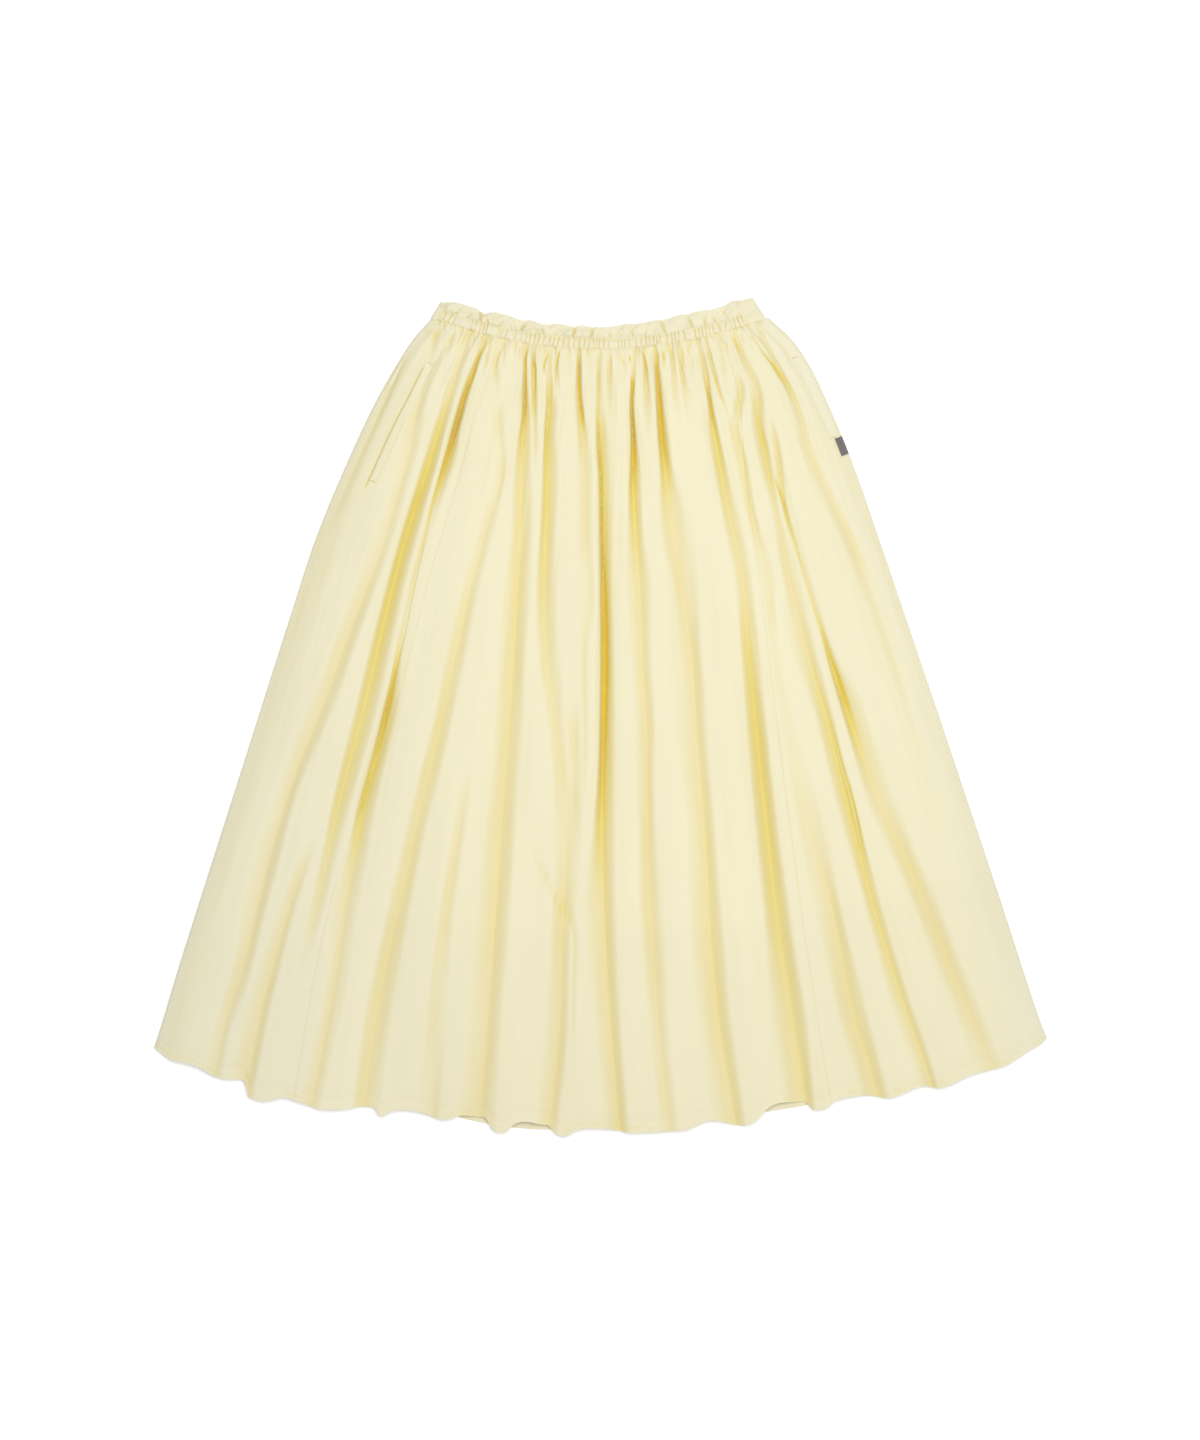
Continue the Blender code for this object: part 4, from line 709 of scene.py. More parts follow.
def fold_height(x, down):
    """Outer height of the upper layer with its folds, before its small relief."""
    left = section_value("left", down) + EDGE_RADIUS
    right = section_value("right", down) - EDGE_RADIUS
    inward = np.clip(np.minimum(x - left, right - x) / EDGE_RISE, 0.0, 1.0)
    edge = 2 * EDGE_RADIUS
    crest = edge + (section_value("top", down) - edge) * (1 - (1 - inward) ** 2)
    room = np.maximum(crest - FLOOR_LEAST, LAYER_GAP)
    depth = fold_depth(x, down)
    limited = depth / (1 + (depth / room) ** FLOOR_HARDNESS) ** (1 / FLOOR_HARDNESS)
    return crest - limited


def pocket_mouth(down):
    """1 along the left pocket's mouth, 0 above and below it."""
    started = ease((down - POCKET_START) / MOUTH_FADE)
    return started * (1 - ease((down - LEFT_POCKET_END) / MOUTH_FADE))


def seam_dips(x, down):
    """The cloth is pulled down along the panel seams, and most at the left pocket's mouth."""
    dips = np.zeros(np.broadcast(x, down).shape)
    for table in (LEFT_SEAM, RIGHT_SEAM):
        dips = dips + SEAM_DIP * groove(
            x - smooth_curve(STATIONS, table, down), SEAM_HALF, SEAM_HALF, SEAM_SHARP
        )
    mouth = groove(x - side_seam(down), MOUTH_HALF, MOUTH_HALF, MOUTH_SHARP)
    return dips + MOUTH_DIP * pocket_mouth(down) * mouth


def small_relief(x, down):
    """Slack of the cloth, gathers pinched by the waist seam, and puckers of the turned hem."""
    left = section_value("left", down)
    right = section_value("right", down)
    across = (x - left) / (right - left)
    fall = down * SKIRT_FALL
    slack = uneven(SLACK, across, fall) + uneven((SHIRRED,), across, fall) * np.exp(-fall / SHIRRED_RUN)
    slack = slack * np.clip(np.minimum(x - left, right - x) / EDGE_CALM, 0.0, 1.0)
    pinch = SEAM_PINCH * lattice_noise(x / SEAM_PINCH_PITCH, fall / SEAM_PINCH_RUN, 11)
    pinch = pinch * np.exp(-fall / SEAM_PINCH_FADE) - SEAM_SINK * np.exp(-fall / SEAM_SINK_RUN)
    into_hem = np.clip((fall - (SKIRT_FALL - HEM_TURN)) / HEM_TURN, 0.0, 1.0)
    groups = ease((ripple(HEM_GROUPS, x, MIDDLE) + 0.3) / 0.6)
    slanted = (x - HEM_PUCKER_SLANT * into_hem) / HEM_PUCKER_PITCH + ripple(HEM_DRIFT, x, MIDDLE)
    notch = (0.5 + 0.5 * np.cos(2 * math.pi * slanted)) ** 2.5
    hem = -HEM_PUCKER * groups * notch * np.sin(math.pi * into_hem) ** 0.6
    stitched = -HEM_STITCH_DIP * np.exp(-((fall - (SKIRT_FALL - HEM_TURN)) / HEM_STITCH_HALF) ** 2)
    return slack + pinch + hem + stitched - seam_dips(x, down)


def creased(x, down):
    """0 on open cloth, towards 1 in the thin creases."""
    drop = CREASE_TOP - plan_y(x, down)
    most = MOUTH_TONE * pocket_mouth(down) * ease(
        CREASE_FADE - np.abs(x - side_seam(down)) / MOUTH_CREASE
    )
    for crease in CREASES:
        drops = [bend.drop for bend in crease]
        centre = smooth_curve(drops, [bend.x for bend in crease], drop)
        half = np.interp(drop, drops, [bend.half for bend in crease])
        tone = np.interp(drop, drops, [bend.tone for bend in crease])
        most = np.maximum(most, tone * ease(CREASE_FADE - np.abs(x - centre) / half))
    return most


def upper_height(x, down):
    """Outer height of the upper layer of cloth."""
    height = fold_height(x, down) + small_relief(x, down) - CREASE_DEPTH * creased(x, down)
    return np.maximum(height, FLOOR_LEAST)


# ---------------------------------------------------------------------------
# Meshes from grids of points
# ---------------------------------------------------------------------------
def grid_normals(grid, ring=False):
    """Unit normals of a grid given as [row][column]; columns run to the right and rows down."""
    along = np.gradient(grid, axis=0)
    if ring:
        across = np.roll(grid, -1, axis=1) - np.roll(grid, 1, axis=1)
    else:
        across = np.gradient(grid, axis=1)
    normal = np.cross(across, along) * -1.0
    return normal / np.maximum(np.linalg.norm(normal, axis=2, keepdims=True), 1e-9)


def mesh_from(name, vertices, faces, material):
    """An object from points in millimetres and faces that all have the same number of corners."""
    mesh = bpy.data.meshes.new(name)
    corners = faces.shape[1]
    mesh.vertices.add(len(vertices))
    mesh.vertices.foreach_set("co", (vertices * MM).astype(np.float32).ravel())
    mesh.loops.add(faces.size)
    mesh.loops.foreach_set("vertex_index", faces.ravel().astype(np.int32))
    mesh.polygons.add(len(faces))
    mesh.polygons.foreach_set("loop_start", np.arange(0, faces.size, corners, dtype=np.int32))
    mesh.update(calc_edges=True)
    mesh.validate()
    mesh.shade_smooth()
    mesh.set_sharp_from_angle(angle=SHARP_ANGLE)
    mesh.materials.append(material)
    piece = bpy.data.objects.new(name, mesh)
    bpy.context.scene.collection.objects.link(piece)
    return piece


def shell(name, outer, thickness, material, ring=False, values=None):
    """A closed thin shell: the outer grid, and an inner one the cloth's thickness away.

    values are named [row][column] numbers that the material reads.
    """
    rows, columns = outer.shape[:2]
    inner = outer - grid_normals(outer, ring) * np.asarray(thickness)[..., None]
    count = rows * columns
    index = np.arange(count).reshape(rows, columns)
    last = columns if ring else columns - 1
    here = np.arange(last)
    there = (here + 1) % columns
    upper = index[:-1]
    lower = index[1:]
    top = [upper[:, here], lower[:, here], lower[:, there], upper[:, there]]
    top = np.stack(top, axis=-1).reshape(-1, 4)
    bottom = top[:, ::-1] + count
    edges = [(index[0][here], index[0][there]), (index[-1][there], index[-1][here])]
    if not ring:
        edges += [(index[1:, 0], index[:-1, 0]), (index[:-1, -1], index[1:, -1])]
    rims = [np.stack([first, second, second + count, first + count], axis=-1) for first, second in edges]
    faces = np.concatenate([top, bottom] + rims)
    vertices = np.concatenate([outer.reshape(-1, 3), inner.reshape(-1, 3)])
    piece = mesh_from(name, vertices, faces, material)
    mesh = piece.data
    for key, grid in (values or {}).items():
        attribute = mesh.attributes.new(key, "FLOAT", "POINT")
        both = np.concatenate([np.asarray(grid, float).ravel()] * 2)
        attribute.data.foreach_set("value", both.astype(np.float32))
    steps = np.linalg.norm(np.diff(outer, axis=1), axis=2)
    u = np.concatenate([np.zeros((rows, 1)), np.cumsum(steps, axis=1)], axis=1)
    u = (u - u[:, columns // 2][:, None]) * MM
    v = outer[..., 1] * MM
    uv = np.concatenate([np.stack([u, v], axis=-1).reshape(-1, 2)] * 2)
    layer = mesh.uv_layers.new(name="cloth")
    layer.uv.foreach_set("vector", uv[faces.ravel()].astype(np.float32).ravel())
    return piece


def points(x, y, z):
    return np.stack(np.broadcast_arrays(x, y, z), axis=-1)


# ---------------------------------------------------------------------------
# Rows, and how enclosed a place in a groove is
# ---------------------------------------------------------------------------
def panel_rows():
    top = TOP_END * np.linspace(0.0, 1.0, TOP_ROWS) ** TOP_CROWDING
    hem_line = 1 - HEM_TURN / SKIRT_FALL
    body = np.linspace(TOP_END, hem_line - 2.0 / SKIRT_FALL, BODY_ROWS + 1)[1:]
    hem = np.linspace(hem_line, 1.0, HEM_ROWS + 1)
    return np.concatenate([top, body, hem])


ROWS = panel_rows()
HOLLOW_REACH = (0.8, 1.6, 2.6, 4.0, 6.0, 9.0, 13.0, 19.0, 27.0)


def enclosure(x, height, reaches=HOLLOW_REACH):
    """0 on open cloth, towards 1 deep in a narrow groove, for [row][column] heights over x."""
    blocked = np.zeros_like(height)
    for side in (-1, 1):
        horizon = np.zeros_like(height)
        for reach in reaches:
            beside = np.stack([np.interp(x + side * reach, x, row) for row in height])
            horizon = np.maximum(horizon, (beside - height) / reach)
        blocked += 0.5 * horizon / np.sqrt(1 + horizon ** 2)
    return blocked


# How enclosed each place of the upper layer is, which sets its painted fold shade.
HOLLOW_X = np.arange(-462.0, 462.8, 0.8)
HOLLOW = enclosure(HOLLOW_X, upper_height(HOLLOW_X[None, :], ROWS[:, None]))


def painted_fold_shade_at(x):
    """x is [row][column], with one row for each of ROWS."""
    return np.stack([np.interp(line, HOLLOW_X, row) for line, row in zip(x, HOLLOW)])


# ---------------------------------------------------------------------------
# Materials
# ---------------------------------------------------------------------------
# Colours of the cotton, from open cloth to the depth of a fold. Past the plain first one they are painted
# shade and painted golden bounce light, for light that passes through and bounces between a fold's sides.
Tone = namedtuple("Tone", "hollow colour")
COTTON_AND_PAINTED_SHADE_TONES = rows_of(
    Tone,
    (0.04, (0.818, 0.760, 0.530)), (0.13, (0.806, 0.740, 0.478)), (0.25, (0.795, 0.700, 0.395)),
    (0.45, (0.775, 0.664, 0.262)), (0.62, (0.762, 0.626, 0.172)), (0.84, (0.695, 0.525, 0.088)),
    (0.95, (0.765, 0.545, 0.036)),
)
# colour of painted shade
SHADE_TONE = (0.91, 0.91, 0.915)
# colour of painted cooler light
PAINTED_COOL_LIGHT_TONE = (0.975, 0.998, 1.10)
# colour of painted sheen
PAINTED_SHEEN_TONE = (0.84, 0.82, 0.66)
PAINTED_SHEEN_POWER = 3.0           # painted sheen: the cloth pales towards PAINTED_SHEEN_TONE where it turns from the viewer
PAINTED_SHEEN_MOST = 0.8            # by this share at the most
CLOUD_TONE = (0.93, 0.92, 0.86)    # faint uneven patches of the dye
CLOUD_SCALE = 9.0
YARN_TONE = (0.93, 0.92, 0.87)     # thicker yarns
THREAD_PITCH = 0.00042     # metres between threads of the weave
SLUB_LENGTH = 0.012        # length of the thicker stretches of yarn
BUMP_DEPTH = 0.00008
THREAD_TONES = ((0.80, 0.68, 0.36), (0.86, 0.77, 0.50))
TAB_TONES = ((0.130, 0.114, 0.114), (0.21, 0.19, 0.19))
TAB_THREAD_PITCH = 0.0006


def node(tree, kind, **settings):
    made = tree.nodes.new(kind)
    for key, value in settings.items():
        setattr(made, key, value)
    return made


def maths(tree, operation, first, second):
    made = node(tree, "ShaderNodeMath", operation=operation)
    for socket, value in zip(made.inputs, (first, second)):
        if isinstance(value, (int, float)):
            socket.default_value = value
        else:
            tree.links.new(value, socket)
    return made.outputs["Value"]


def noise(tree, vector, scale, detail=2.0):
    made = node(tree, "ShaderNodeTexNoise")
    made.inputs["Scale"].default_value = scale
    made.inputs["Detail"].default_value = detail
    tree.links.new(vector, made.inputs["Vector"])
    return made.outputs["Fac"]


def stretched(tree, vector, scale):
    made = node(tree, "ShaderNodeVectorMath", operation="MULTIPLY")
    tree.links.new(vector, made.inputs[0])
    made.inputs[1].default_value = scale
    return made.outputs["Vector"]


def mixed(tree, kind, factor, first, second):
    made = node(tree, "ShaderNodeMix", data_type="RGBA", blend_type=kind)
    for socket, value in zip((made.inputs[0], made.inputs[6], made.inputs[7]), (factor, first, second)):
        if isinstance(value, (int, float)):
            socket.default_value = value
        elif isinstance(value, tuple):
            socket.default_value = (*value, 1.0)
        else:
            tree.links.new(value, socket)
    return made.outputs[2]


def weave(tree, vector, pitch):
    """Plain weave from two sets of waves, half a unit up or down."""
    separate = node(tree, "ShaderNodeSeparateXYZ")
    tree.links.new(vector, separate.inputs["Vector"])
    turned = [maths(tree, "MULTIPLY", separate.outputs[axis], 2 * math.pi / pitch) for axis in "XY"]
    along, across = [maths(tree, "SINE", turn, 0.0) for turn in turned]
    return maths(tree, "MULTIPLY", maths(tree, "MULTIPLY", along, across), 0.5)


def cloth_surface(tree, shader, vector, pitch, strength):
    """Bump from the weave and the uneven yarn."""
    slub_u = noise(tree, stretched(tree, vector, (1 / SLUB_LENGTH, 1 / (2.5 * pitch), 1.0)), 1.0)
    slub_v = noise(tree, stretched(tree, vector, (1 / (2.5 * pitch), 1 / SLUB_LENGTH, 1.0)), 1.0)
    yarn = maths(tree, "ADD", slub_u, slub_v)
    height = maths(tree, "ADD", weave(tree, vector, pitch), yarn)
    bump = node(tree, "ShaderNodeBump")
    bump.inputs["Strength"].default_value = strength
    bump.inputs["Distance"].default_value = BUMP_DEPTH
    tree.links.new(height, bump.inputs["Height"])
    tree.links.new(bump.outputs["Normal"], shader.inputs["Normal"])
    return yarn


def new_material(name, settings):
    """A material whose shader has these constant values."""
    material = bpy.data.materials.new(name)
    material.use_nodes = True
    shader = material.node_tree.nodes["Principled BSDF"]
    for socket, value in settings.items():
        shader.inputs[socket].default_value = value
    return material, material.node_tree, shader


def raised(tree, value, least, gain):
    """How far a value is above its least, times a gain."""
    return maths(tree, "MULTIPLY", maths(tree, "SUBTRACT", value, least), gain)


def attribute(tree, name):
    return node(tree, "ShaderNodeAttribute", attribute_name=name).outputs["Fac"]


def cotton_material():
    material, tree, shader = new_material("pale_yellow_cotton_poplin", {
        "Roughness": 0.54, "Sheen Weight": 0.08, "Sheen Roughness": 0.5, "Specular IOR Level": 0.2,
    })
    # Painted fold shade: the colour darkens and turns golden where the cloth is enclosed in a fold.
    tones = node(tree, "ShaderNodeValToRGB")
    ramp = tones.color_ramp.elements
    while len(ramp) < len(COTTON_AND_PAINTED_SHADE_TONES):
        ramp.new(0.5)
    for element, tone in zip(ramp, COTTON_AND_PAINTED_SHADE_TONES):
        element.position = tone.hollow
        element.color = (*tone.colour, 1.0)
    tree.links.new(attribute(tree, "hollow"), tones.inputs["Fac"])
    # Painted cooler light on the left side and at the edges.
    colour = mixed(tree, "MULTIPLY", attribute(tree, "painted_cool_light"), tones.outputs["Color"], PAINTED_COOL_LIGHT_TONE)
    # Painted shade from the streaks, margins and steps of the shade attribute.
    colour = mixed(tree, "MULTIPLY", attribute(tree, "shade"), colour, SHADE_TONE)
    place = node(tree, "ShaderNodeTexCoord").outputs["Object"]
    cloudy = raised(tree, noise(tree, place, CLOUD_SCALE, 3.0), 0.35, 0.35)
    colour = mixed(tree, "MULTIPLY", cloudy, colour, CLOUD_TONE)
    layer = node(tree, "ShaderNodeUVMap", uv_map="cloth").outputs["UV"]
    yarn = cloth_surface(tree, shader, layer, THREAD_PITCH, 0.35)
    colour = mixed(tree, "MULTIPLY", raised(tree, yarn, 0.8, 0.25), colour, YARN_TONE)
    # Painted sheen where the cloth turns from the viewer.
    turned = node(tree, "ShaderNodeLayerWeight").outputs["Facing"]
    turned = maths(tree, "MULTIPLY", maths(tree, "POWER", turned, PAINTED_SHEEN_POWER), PAINTED_SHEEN_MOST)
    colour = mixed(tree, "MIX", turned, colour, PAINTED_SHEEN_TONE)
    tree.links.new(colour, shader.inputs["Base Color"])
    return material


def thread_material():
    material, tree, shader = new_material("yellow_cotton_thread", {"Roughness": 0.6})
    place = node(tree, "ShaderNodeTexCoord").outputs["Object"]
    colour = mixed(tree, "MIX", noise(tree, place, 900.0), *THREAD_TONES)
    tree.links.new(colour, shader.inputs["Base Color"])
    return material


def tab_material():
    material, tree, shader = new_material("grey_woven_ribbon", {"Roughness": 0.7, "Sheen Weight": 0.2})
    layer = node(tree, "ShaderNodeUVMap", uv_map="cloth").outputs["UV"]
    yarn = cloth_surface(tree, shader, layer, TAB_THREAD_PITCH, 0.6)
    colour = mixed(tree, "MIX", raised(tree, yarn, 0.6, 0.8), *TAB_TONES)
    tree.links.new(colour, shader.inputs["Base Color"])
    return material


def floor_material():
    return new_material("white_floor", {
        "Base Color": (0.97, 0.97, 0.97, 1.0), "Roughness": 0.9, "Specular IOR Level": 0.0,
        "Emission Color": (1.0, 1.0, 1.0, 1.0), "Emission Strength": FLOOR_GLOW,
    })[0]


# ---------------------------------------------------------------------------
# Panels
# ---------------------------------------------------------------------------
def spread_columns(start, end, count):
    return np.stack([mix(start, end, share) for share in np.linspace(0.0, 1.0, count)], axis=-1)


def hem_thickness(down):
    """The cloth is double in the turned hem; it thickens over a tenth of the hem, just above it."""
    turn = HEM_TURN / SKIRT_FALL
    return mix(CLOTH, HEM_CLOTH, ease((down - (1 - 1.1 * turn)) / (0.1 * turn)))


def shade_at(x, down):
    """Painted shade of the cloth: soft streaks along the fan, and darker below the edge of the layer
    inside.
    """
    left = section_value("left", down)
    right = section_value("right", down)
    across = (x - left) / (right - left)
    fall = down * SKIRT_FALL
    streaks = uneven(SHADE_STREAKS, across, fall)
    inside = ease((down - INSIDE_EDGE + INSIDE_FADE / 2) / INSIDE_FADE)
    inside = inside * ease((x - INSIDE_START) / INSIDE_START_FADE)
    margin = MARGIN_SHADE * ease(1 - (x - left) / LEFT_MARGIN) * mix(*MARGIN_GROWTH, down)
    return np.clip(PLAIN_SHADE + streaks + INSIDE_SHADE * inside + HEM_SHADE * down + margin, 0.0, 1.0)


def left_side(x):
    return ease((COOL_START - x) / COOL_RUN)


def painted_cool_light_at(x, down):
    """Painted cooler light: the left side of the cloth is a little paler and greyer, and so are both edges.
    """
    left = ease(1 - (x - section_value("left", down)) / LEFT_MARGIN)
    right = ease(1 - (section_value("right", down) - x) / RIGHT_MARGIN)
    return np.maximum(LEFT_COOL * left_side(x), np.maximum(left, right))


def build_front_panel(name, start, end, count, material):
    x = spread_columns(start, end, count)
    down = ROWS[:, None] * np.ones_like(x)
    outer = points(x, plan_y(x, down, FRONT_HEM), upper_height(x, down))
    # Painted fold shade in the grooves and thin creases; with it go the painted cooler light and painted
    # shade.
    enclosed = painted_fold_shade_at(x) * mix(SHIRRED_PAINTED_SHADE, 1.0, ease(down / SHIRRED_REACH))
    hollow = np.maximum(enclosed, CREASE_PAINTED_SHADE * creased(x, down))
    values = {"hollow": hollow, "painted_cool_light": painted_cool_light_at(x, down), "shade": shade_at(x, down)}
    return shell(name, outer, hem_thickness(down), material, values=values)


UNDERSIDE = 1.5                        # below this height the back panel is on the underside,
OPEN_TURN = 2 * EDGE_RADIUS - 0.8      # from there to here it is in its round turn, open to light,
TURNED_OVER = 1.9 * EDGE_RADIUS        # and above this it lies on the front


def build_back_panel(material):
    """One section: over the left edge, along the floor, over the right edge."""
    down = ROWS
    level = np.zeros_like(down)
    left = section_value("left", down) + EDGE_RADIUS
    right = section_value("right", down) - EDGE_RADIUS
    half_turn = np.linspace(-math.pi / 2, math.pi / 2, TURN_COLUMNS + 1)[1:]
    section = []
    for share in np.linspace(0.0, 1.0, 3):
        x = mix(right_edge(down) + SIDE_GAP, right, share)
        section.append((x, upper_height(x, down)))
    for angle in half_turn:
        section.append((right + EDGE_RADIUS * math.cos(angle), level + EDGE_RADIUS * (1 - math.sin(angle))))
    for share in np.linspace(1.0, 0.0, BACK_COLUMNS)[1:]:
        x = mix(left, right, share)
        inset = ease(min(share, 1 - share) / BACK_FOLD_EDGE)
        section.append((x, BACK_FOLD_SHARE * inset * fold_depth(-x, down)))
    for angle in half_turn:
        section.append((left - EDGE_RADIUS * math.cos(angle), level + EDGE_RADIUS * (1 + math.sin(angle))))
    for share in np.linspace(0.0, 1.0, WRAP_COLUMNS)[1:]:
        x = mix(left, side_seam(down) - SIDE_GAP, share)
        section.append((x, upper_height(x, down)))
    x = np.stack([place for place, height in section], axis=-1)
    z = np.stack([height for place, height in section], axis=-1)
    rows = down[:, None] * np.ones_like(x)
    turned_over = z > TURNED_OVER
    y = np.where(turned_over, plan_y(x, rows, FRONT_HEM), plan_y(x, rows, BACK_HEM))
    outer = points(x, y, z)
    # Painted fold shade: less of it on the underside, none in the round turn.
    hollow = np.where(z < UNDERSIDE, BACK_PAINTED_SHADE * painted_fold_shade_at(-x), painted_fold_shade_at(x))
    hollow = np.where((z >= UNDERSIDE) & (z < OPEN_TURN), 0.0, hollow)
    values = {"hollow": hollow, "painted_cool_light": painted_cool_light_at(x, rows), "shade": shade_at(x, rows)}
    return shell("back_cloth", outer, hem_thickness(rows), material, values=values)


# ---------------------------------------------------------------------------
# Waist: shirred casing and frill
# ---------------------------------------------------------------------------
def above_seam(x, height):
    """Plan place at this height above the waist seam, square to its curve but for the leaning ends."""
    step = 0.5
    share = height / (CASING_HEIGHT + FRILL_HEIGHT)
    at_left = ease(1 - (x - WAIST_LEFT) / END_LEAN_RUN)
    at_right = ease(1 - (WAIST_RIGHT - x) / END_LEAN_RUN)
    lean = LEFT_END_LEAN * at_left + RIGHT_END_LEAN * at_right
    x = x + LEFT_END_FOOT * at_left * (1 - share)
    slope = (plan_y(x + step, 0.0) - plan_y(x - step, 0.0)) / (2 * step)
    length = np.sqrt(1 + slope ** 2)
    return x - slope / length * height + lean * share, plan_y(x, 0.0) + height / length


def waist_crest(x):
    """Height of the waist's upper layer, down to its turned ends."""
    inward = np.clip(np.minimum(x - WAIST_LEFT, WAIST_RIGHT - x) / WAIST_RISE, 0.0, 1.0)
    edge = 2 * WAIST_RADIUS
    return edge + (WAIST_TOP - edge) * (1 - (1 - inward) ** 2)


def waist_fade(x):
    return ease(np.minimum(x - WAIST_LEFT, WAIST_RIGHT - x) / WAIST_FADE)


def gathered(x):
    """1 where the waist is gathered, little at its smooth right end."""
    return waist_fade(x) * mix(1.0, SMOOTH_SHARE, ease((x - RIBS_END) / SMOOTH_RUN))


def waist_tube(name, shares, rise, top, seams, material):
    """A flattened tube round the waist: upper layer, right turn, lower layer, left turn.

    rise(x, share, behind) is a point's height above the waist seam, and top(x, share) the upper
    layer's height off the floor. seams are the shares at which the cloth is stitched, and along which
    painted shade is laid.
    """
    x = np.linspace(WAIST_LEFT, WAIST_RIGHT, WAIST_COLUMNS)
    turn = np.linspace(-math.pi / 2, math.pi / 2, TURN_COLUMNS + 1)[1:]
    back_x = np.linspace(WAIST_RIGHT, WAIST_LEFT, WAIST_BACK_COLUMNS)[1:]
    rings = []
    for share in shares:
        ring = [points(*above_seam(x, rise(x, share, False)), top(x, share))]
        turned = WAIST_RIGHT + WAIST_RADIUS * np.cos(turn)
        end = np.full_like(turned, rise(WAIST_RIGHT, share, False))
        ring.append(points(*above_seam(turned, end), WAIST_RADIUS * (1 - np.sin(turn))))
        ring.append(points(*above_seam(back_x, rise(back_x, share, True)), 0.0))
        turned = (WAIST_LEFT - WAIST_RADIUS * np.cos(turn))[:-1]
        end = np.full_like(turned, rise(WAIST_LEFT, share, False))
        ring.append(points(*above_seam(turned, end), WAIST_RADIUS * (1 + np.sin(turn[:-1]))))
        rings.append(np.concatenate(ring))
    outer = np.array(rings)
    front = np.array([top(x, share) for share in shares])
    # Painted fold shade of the waist's folds, and painted shade along its stitched seam lines.
    hollow = np.zeros(outer.shape[:2])
    hollow[:, :WAIST_COLUMNS] = WAIST_PAINTED_SHADE * enclosure(x, front, WAIST_REACH)
    for row, share in enumerate(shares):
        near = max(math.exp(-((share - seam) / SEAM_SHARE) ** 2) for seam in seams)
        seam_shade = SEAM_PAINTED_SHADE * near * (1 + ripple(SEAM_CHANGE, x, share))
        hollow[row, :WAIST_COLUMNS] += seam_shade * gathered(x)
    # Painted cooler light towards the left end, and painted shade in soft patches.
    painted_cool_light = WAIST_PAINTED_LIGHT + WAIST_PAINTED_LIGHT * left_side(outer[..., 0] * WAIST_COOL_GAIN)
    across, up = WAIST_SHADE_PITCH
    shade = WAIST_PAINTED_LIGHT + WAIST_PAINTED_LIGHT * lattice_noise(outer[..., 0] / across, outer[..., 1] / up, 33)
    values = {"hollow": hollow, "painted_cool_light": painted_cool_light, "shade": np.clip(shade, 0.0, 1.0)}
    return shell(name, outer, np.full(outer.shape[:2], WAIST_CLOTH), material, ring=True, values=values)


def casing_rise(x, share, behind):
    return share * CASING_HEIGHT + SHELL_GAP + np.zeros_like(x)


def casing_top(x, share):
    """Ribs of the shirring: uneven, slanted here and there, pinched at both seams."""
    phase = x / CASING_RIB_PITCH + ripple(RIB_DRIFT, x, MIDDLE)
    phase = phase + (share - MIDDLE) * ripple(RIB_LEAN, x, MIDDLE)
    valley = (0.5 + 0.5 * np.cos(2 * math.pi * phase)) ** RIB_SHARP
    depth = CASING_RIB_DEPTH * (RIB_SHARE + ripple(RIB_CHANGE, x, share)) * valley
    swell = CASING_SWELL * math.sin(math.pi * share) ** SWELL_POWER - CASING_SINK
    top = waist_crest(x) + (swell + ripple(CASING_WAVES, x, share) - depth) * gathered(x)
    at_panels = upper_height(above_seam(x, 0.0)[0][None, :], np.zeros((1, 1)))[0]
    return mix(top, at_panels, waist_fade(x) * ease(1 - share / SEAM_BLEND))


def build_casing(material):
    shares = np.linspace(1.0, 0.0, CASING_ROWS + 1)
    return waist_tube("waist_casing_cloth", shares, casing_rise, casing_top, CASING_SEAMS, material)


def frill_folds(x, share):
    depth = np.zeros_like(x)
    for fold in FRILL_FOLDS:
        half = fold.half * mix(FRILL_FOLD_START, 1.0, share)
        kept = 1 - ease((share - fold.reach + FRILL_FOLD_FADE / 2) / FRILL_FOLD_FADE)
        distance = x - fold.x - fold.lean * share
        depth = depth + kept * fold.depth * groove(distance, half, half, FRILL_SHARP)
    return depth


def frill_rise(x, share, behind):
    """The free edge swings up on the waves and down in the folds; the layer behind is plainer."""
    plain = FRILL_HEIGHT * share + CASING_HEIGHT + 2 * SHELL_GAP
    front = edge_value(FRILL_EDGE, "rise", x) - FRILL_SCALLOP * frill_folds(x, 1.0)
    front = front + ripple(FRILL_FLUTTER, x, MIDDLE)
    rear = edge_value(FRILL_EDGE, "rise", x) * FRILL_REAR_SHARE - FRILL_REAR_DROP
    bend = np.where(behind, mix(front, rear, waist_fade(x)), front)
    return plain + bend * share ** FRILL_CURVE


def frill_top(x, share):
    """Waves of the frill with their folds and creases; it grows out of the casing's ribs."""
    lift = FRILL_LIFT * math.sin(math.pi * mix(FRILL_START, FRILL_END, share)) ** SWELL_POWER
    folds = frill_folds(x, share) * mix(*FRILL_FOLD_SHARE, share)
    creases = ripple(FRILL_CREASES, x, share) * mix(*FRILL_CREASE_SHARE, share)
    creases = creases + ripple(FRILL_PUFFS, x, share)
    top = waist_crest(x) + (lift + creases - folds) * gathered(x)
    return mix(top, casing_top(x, 1.0), waist_fade(x) * ease(1 - share / SEAM_BLEND))


def build_frill(material):
    shares = np.linspace(1.0, 0.0, FRILL_ROWS + 1)
    return waist_tube("waist_frill_cloth", shares, frill_rise, frill_top, FRILL_SEAMS, material)


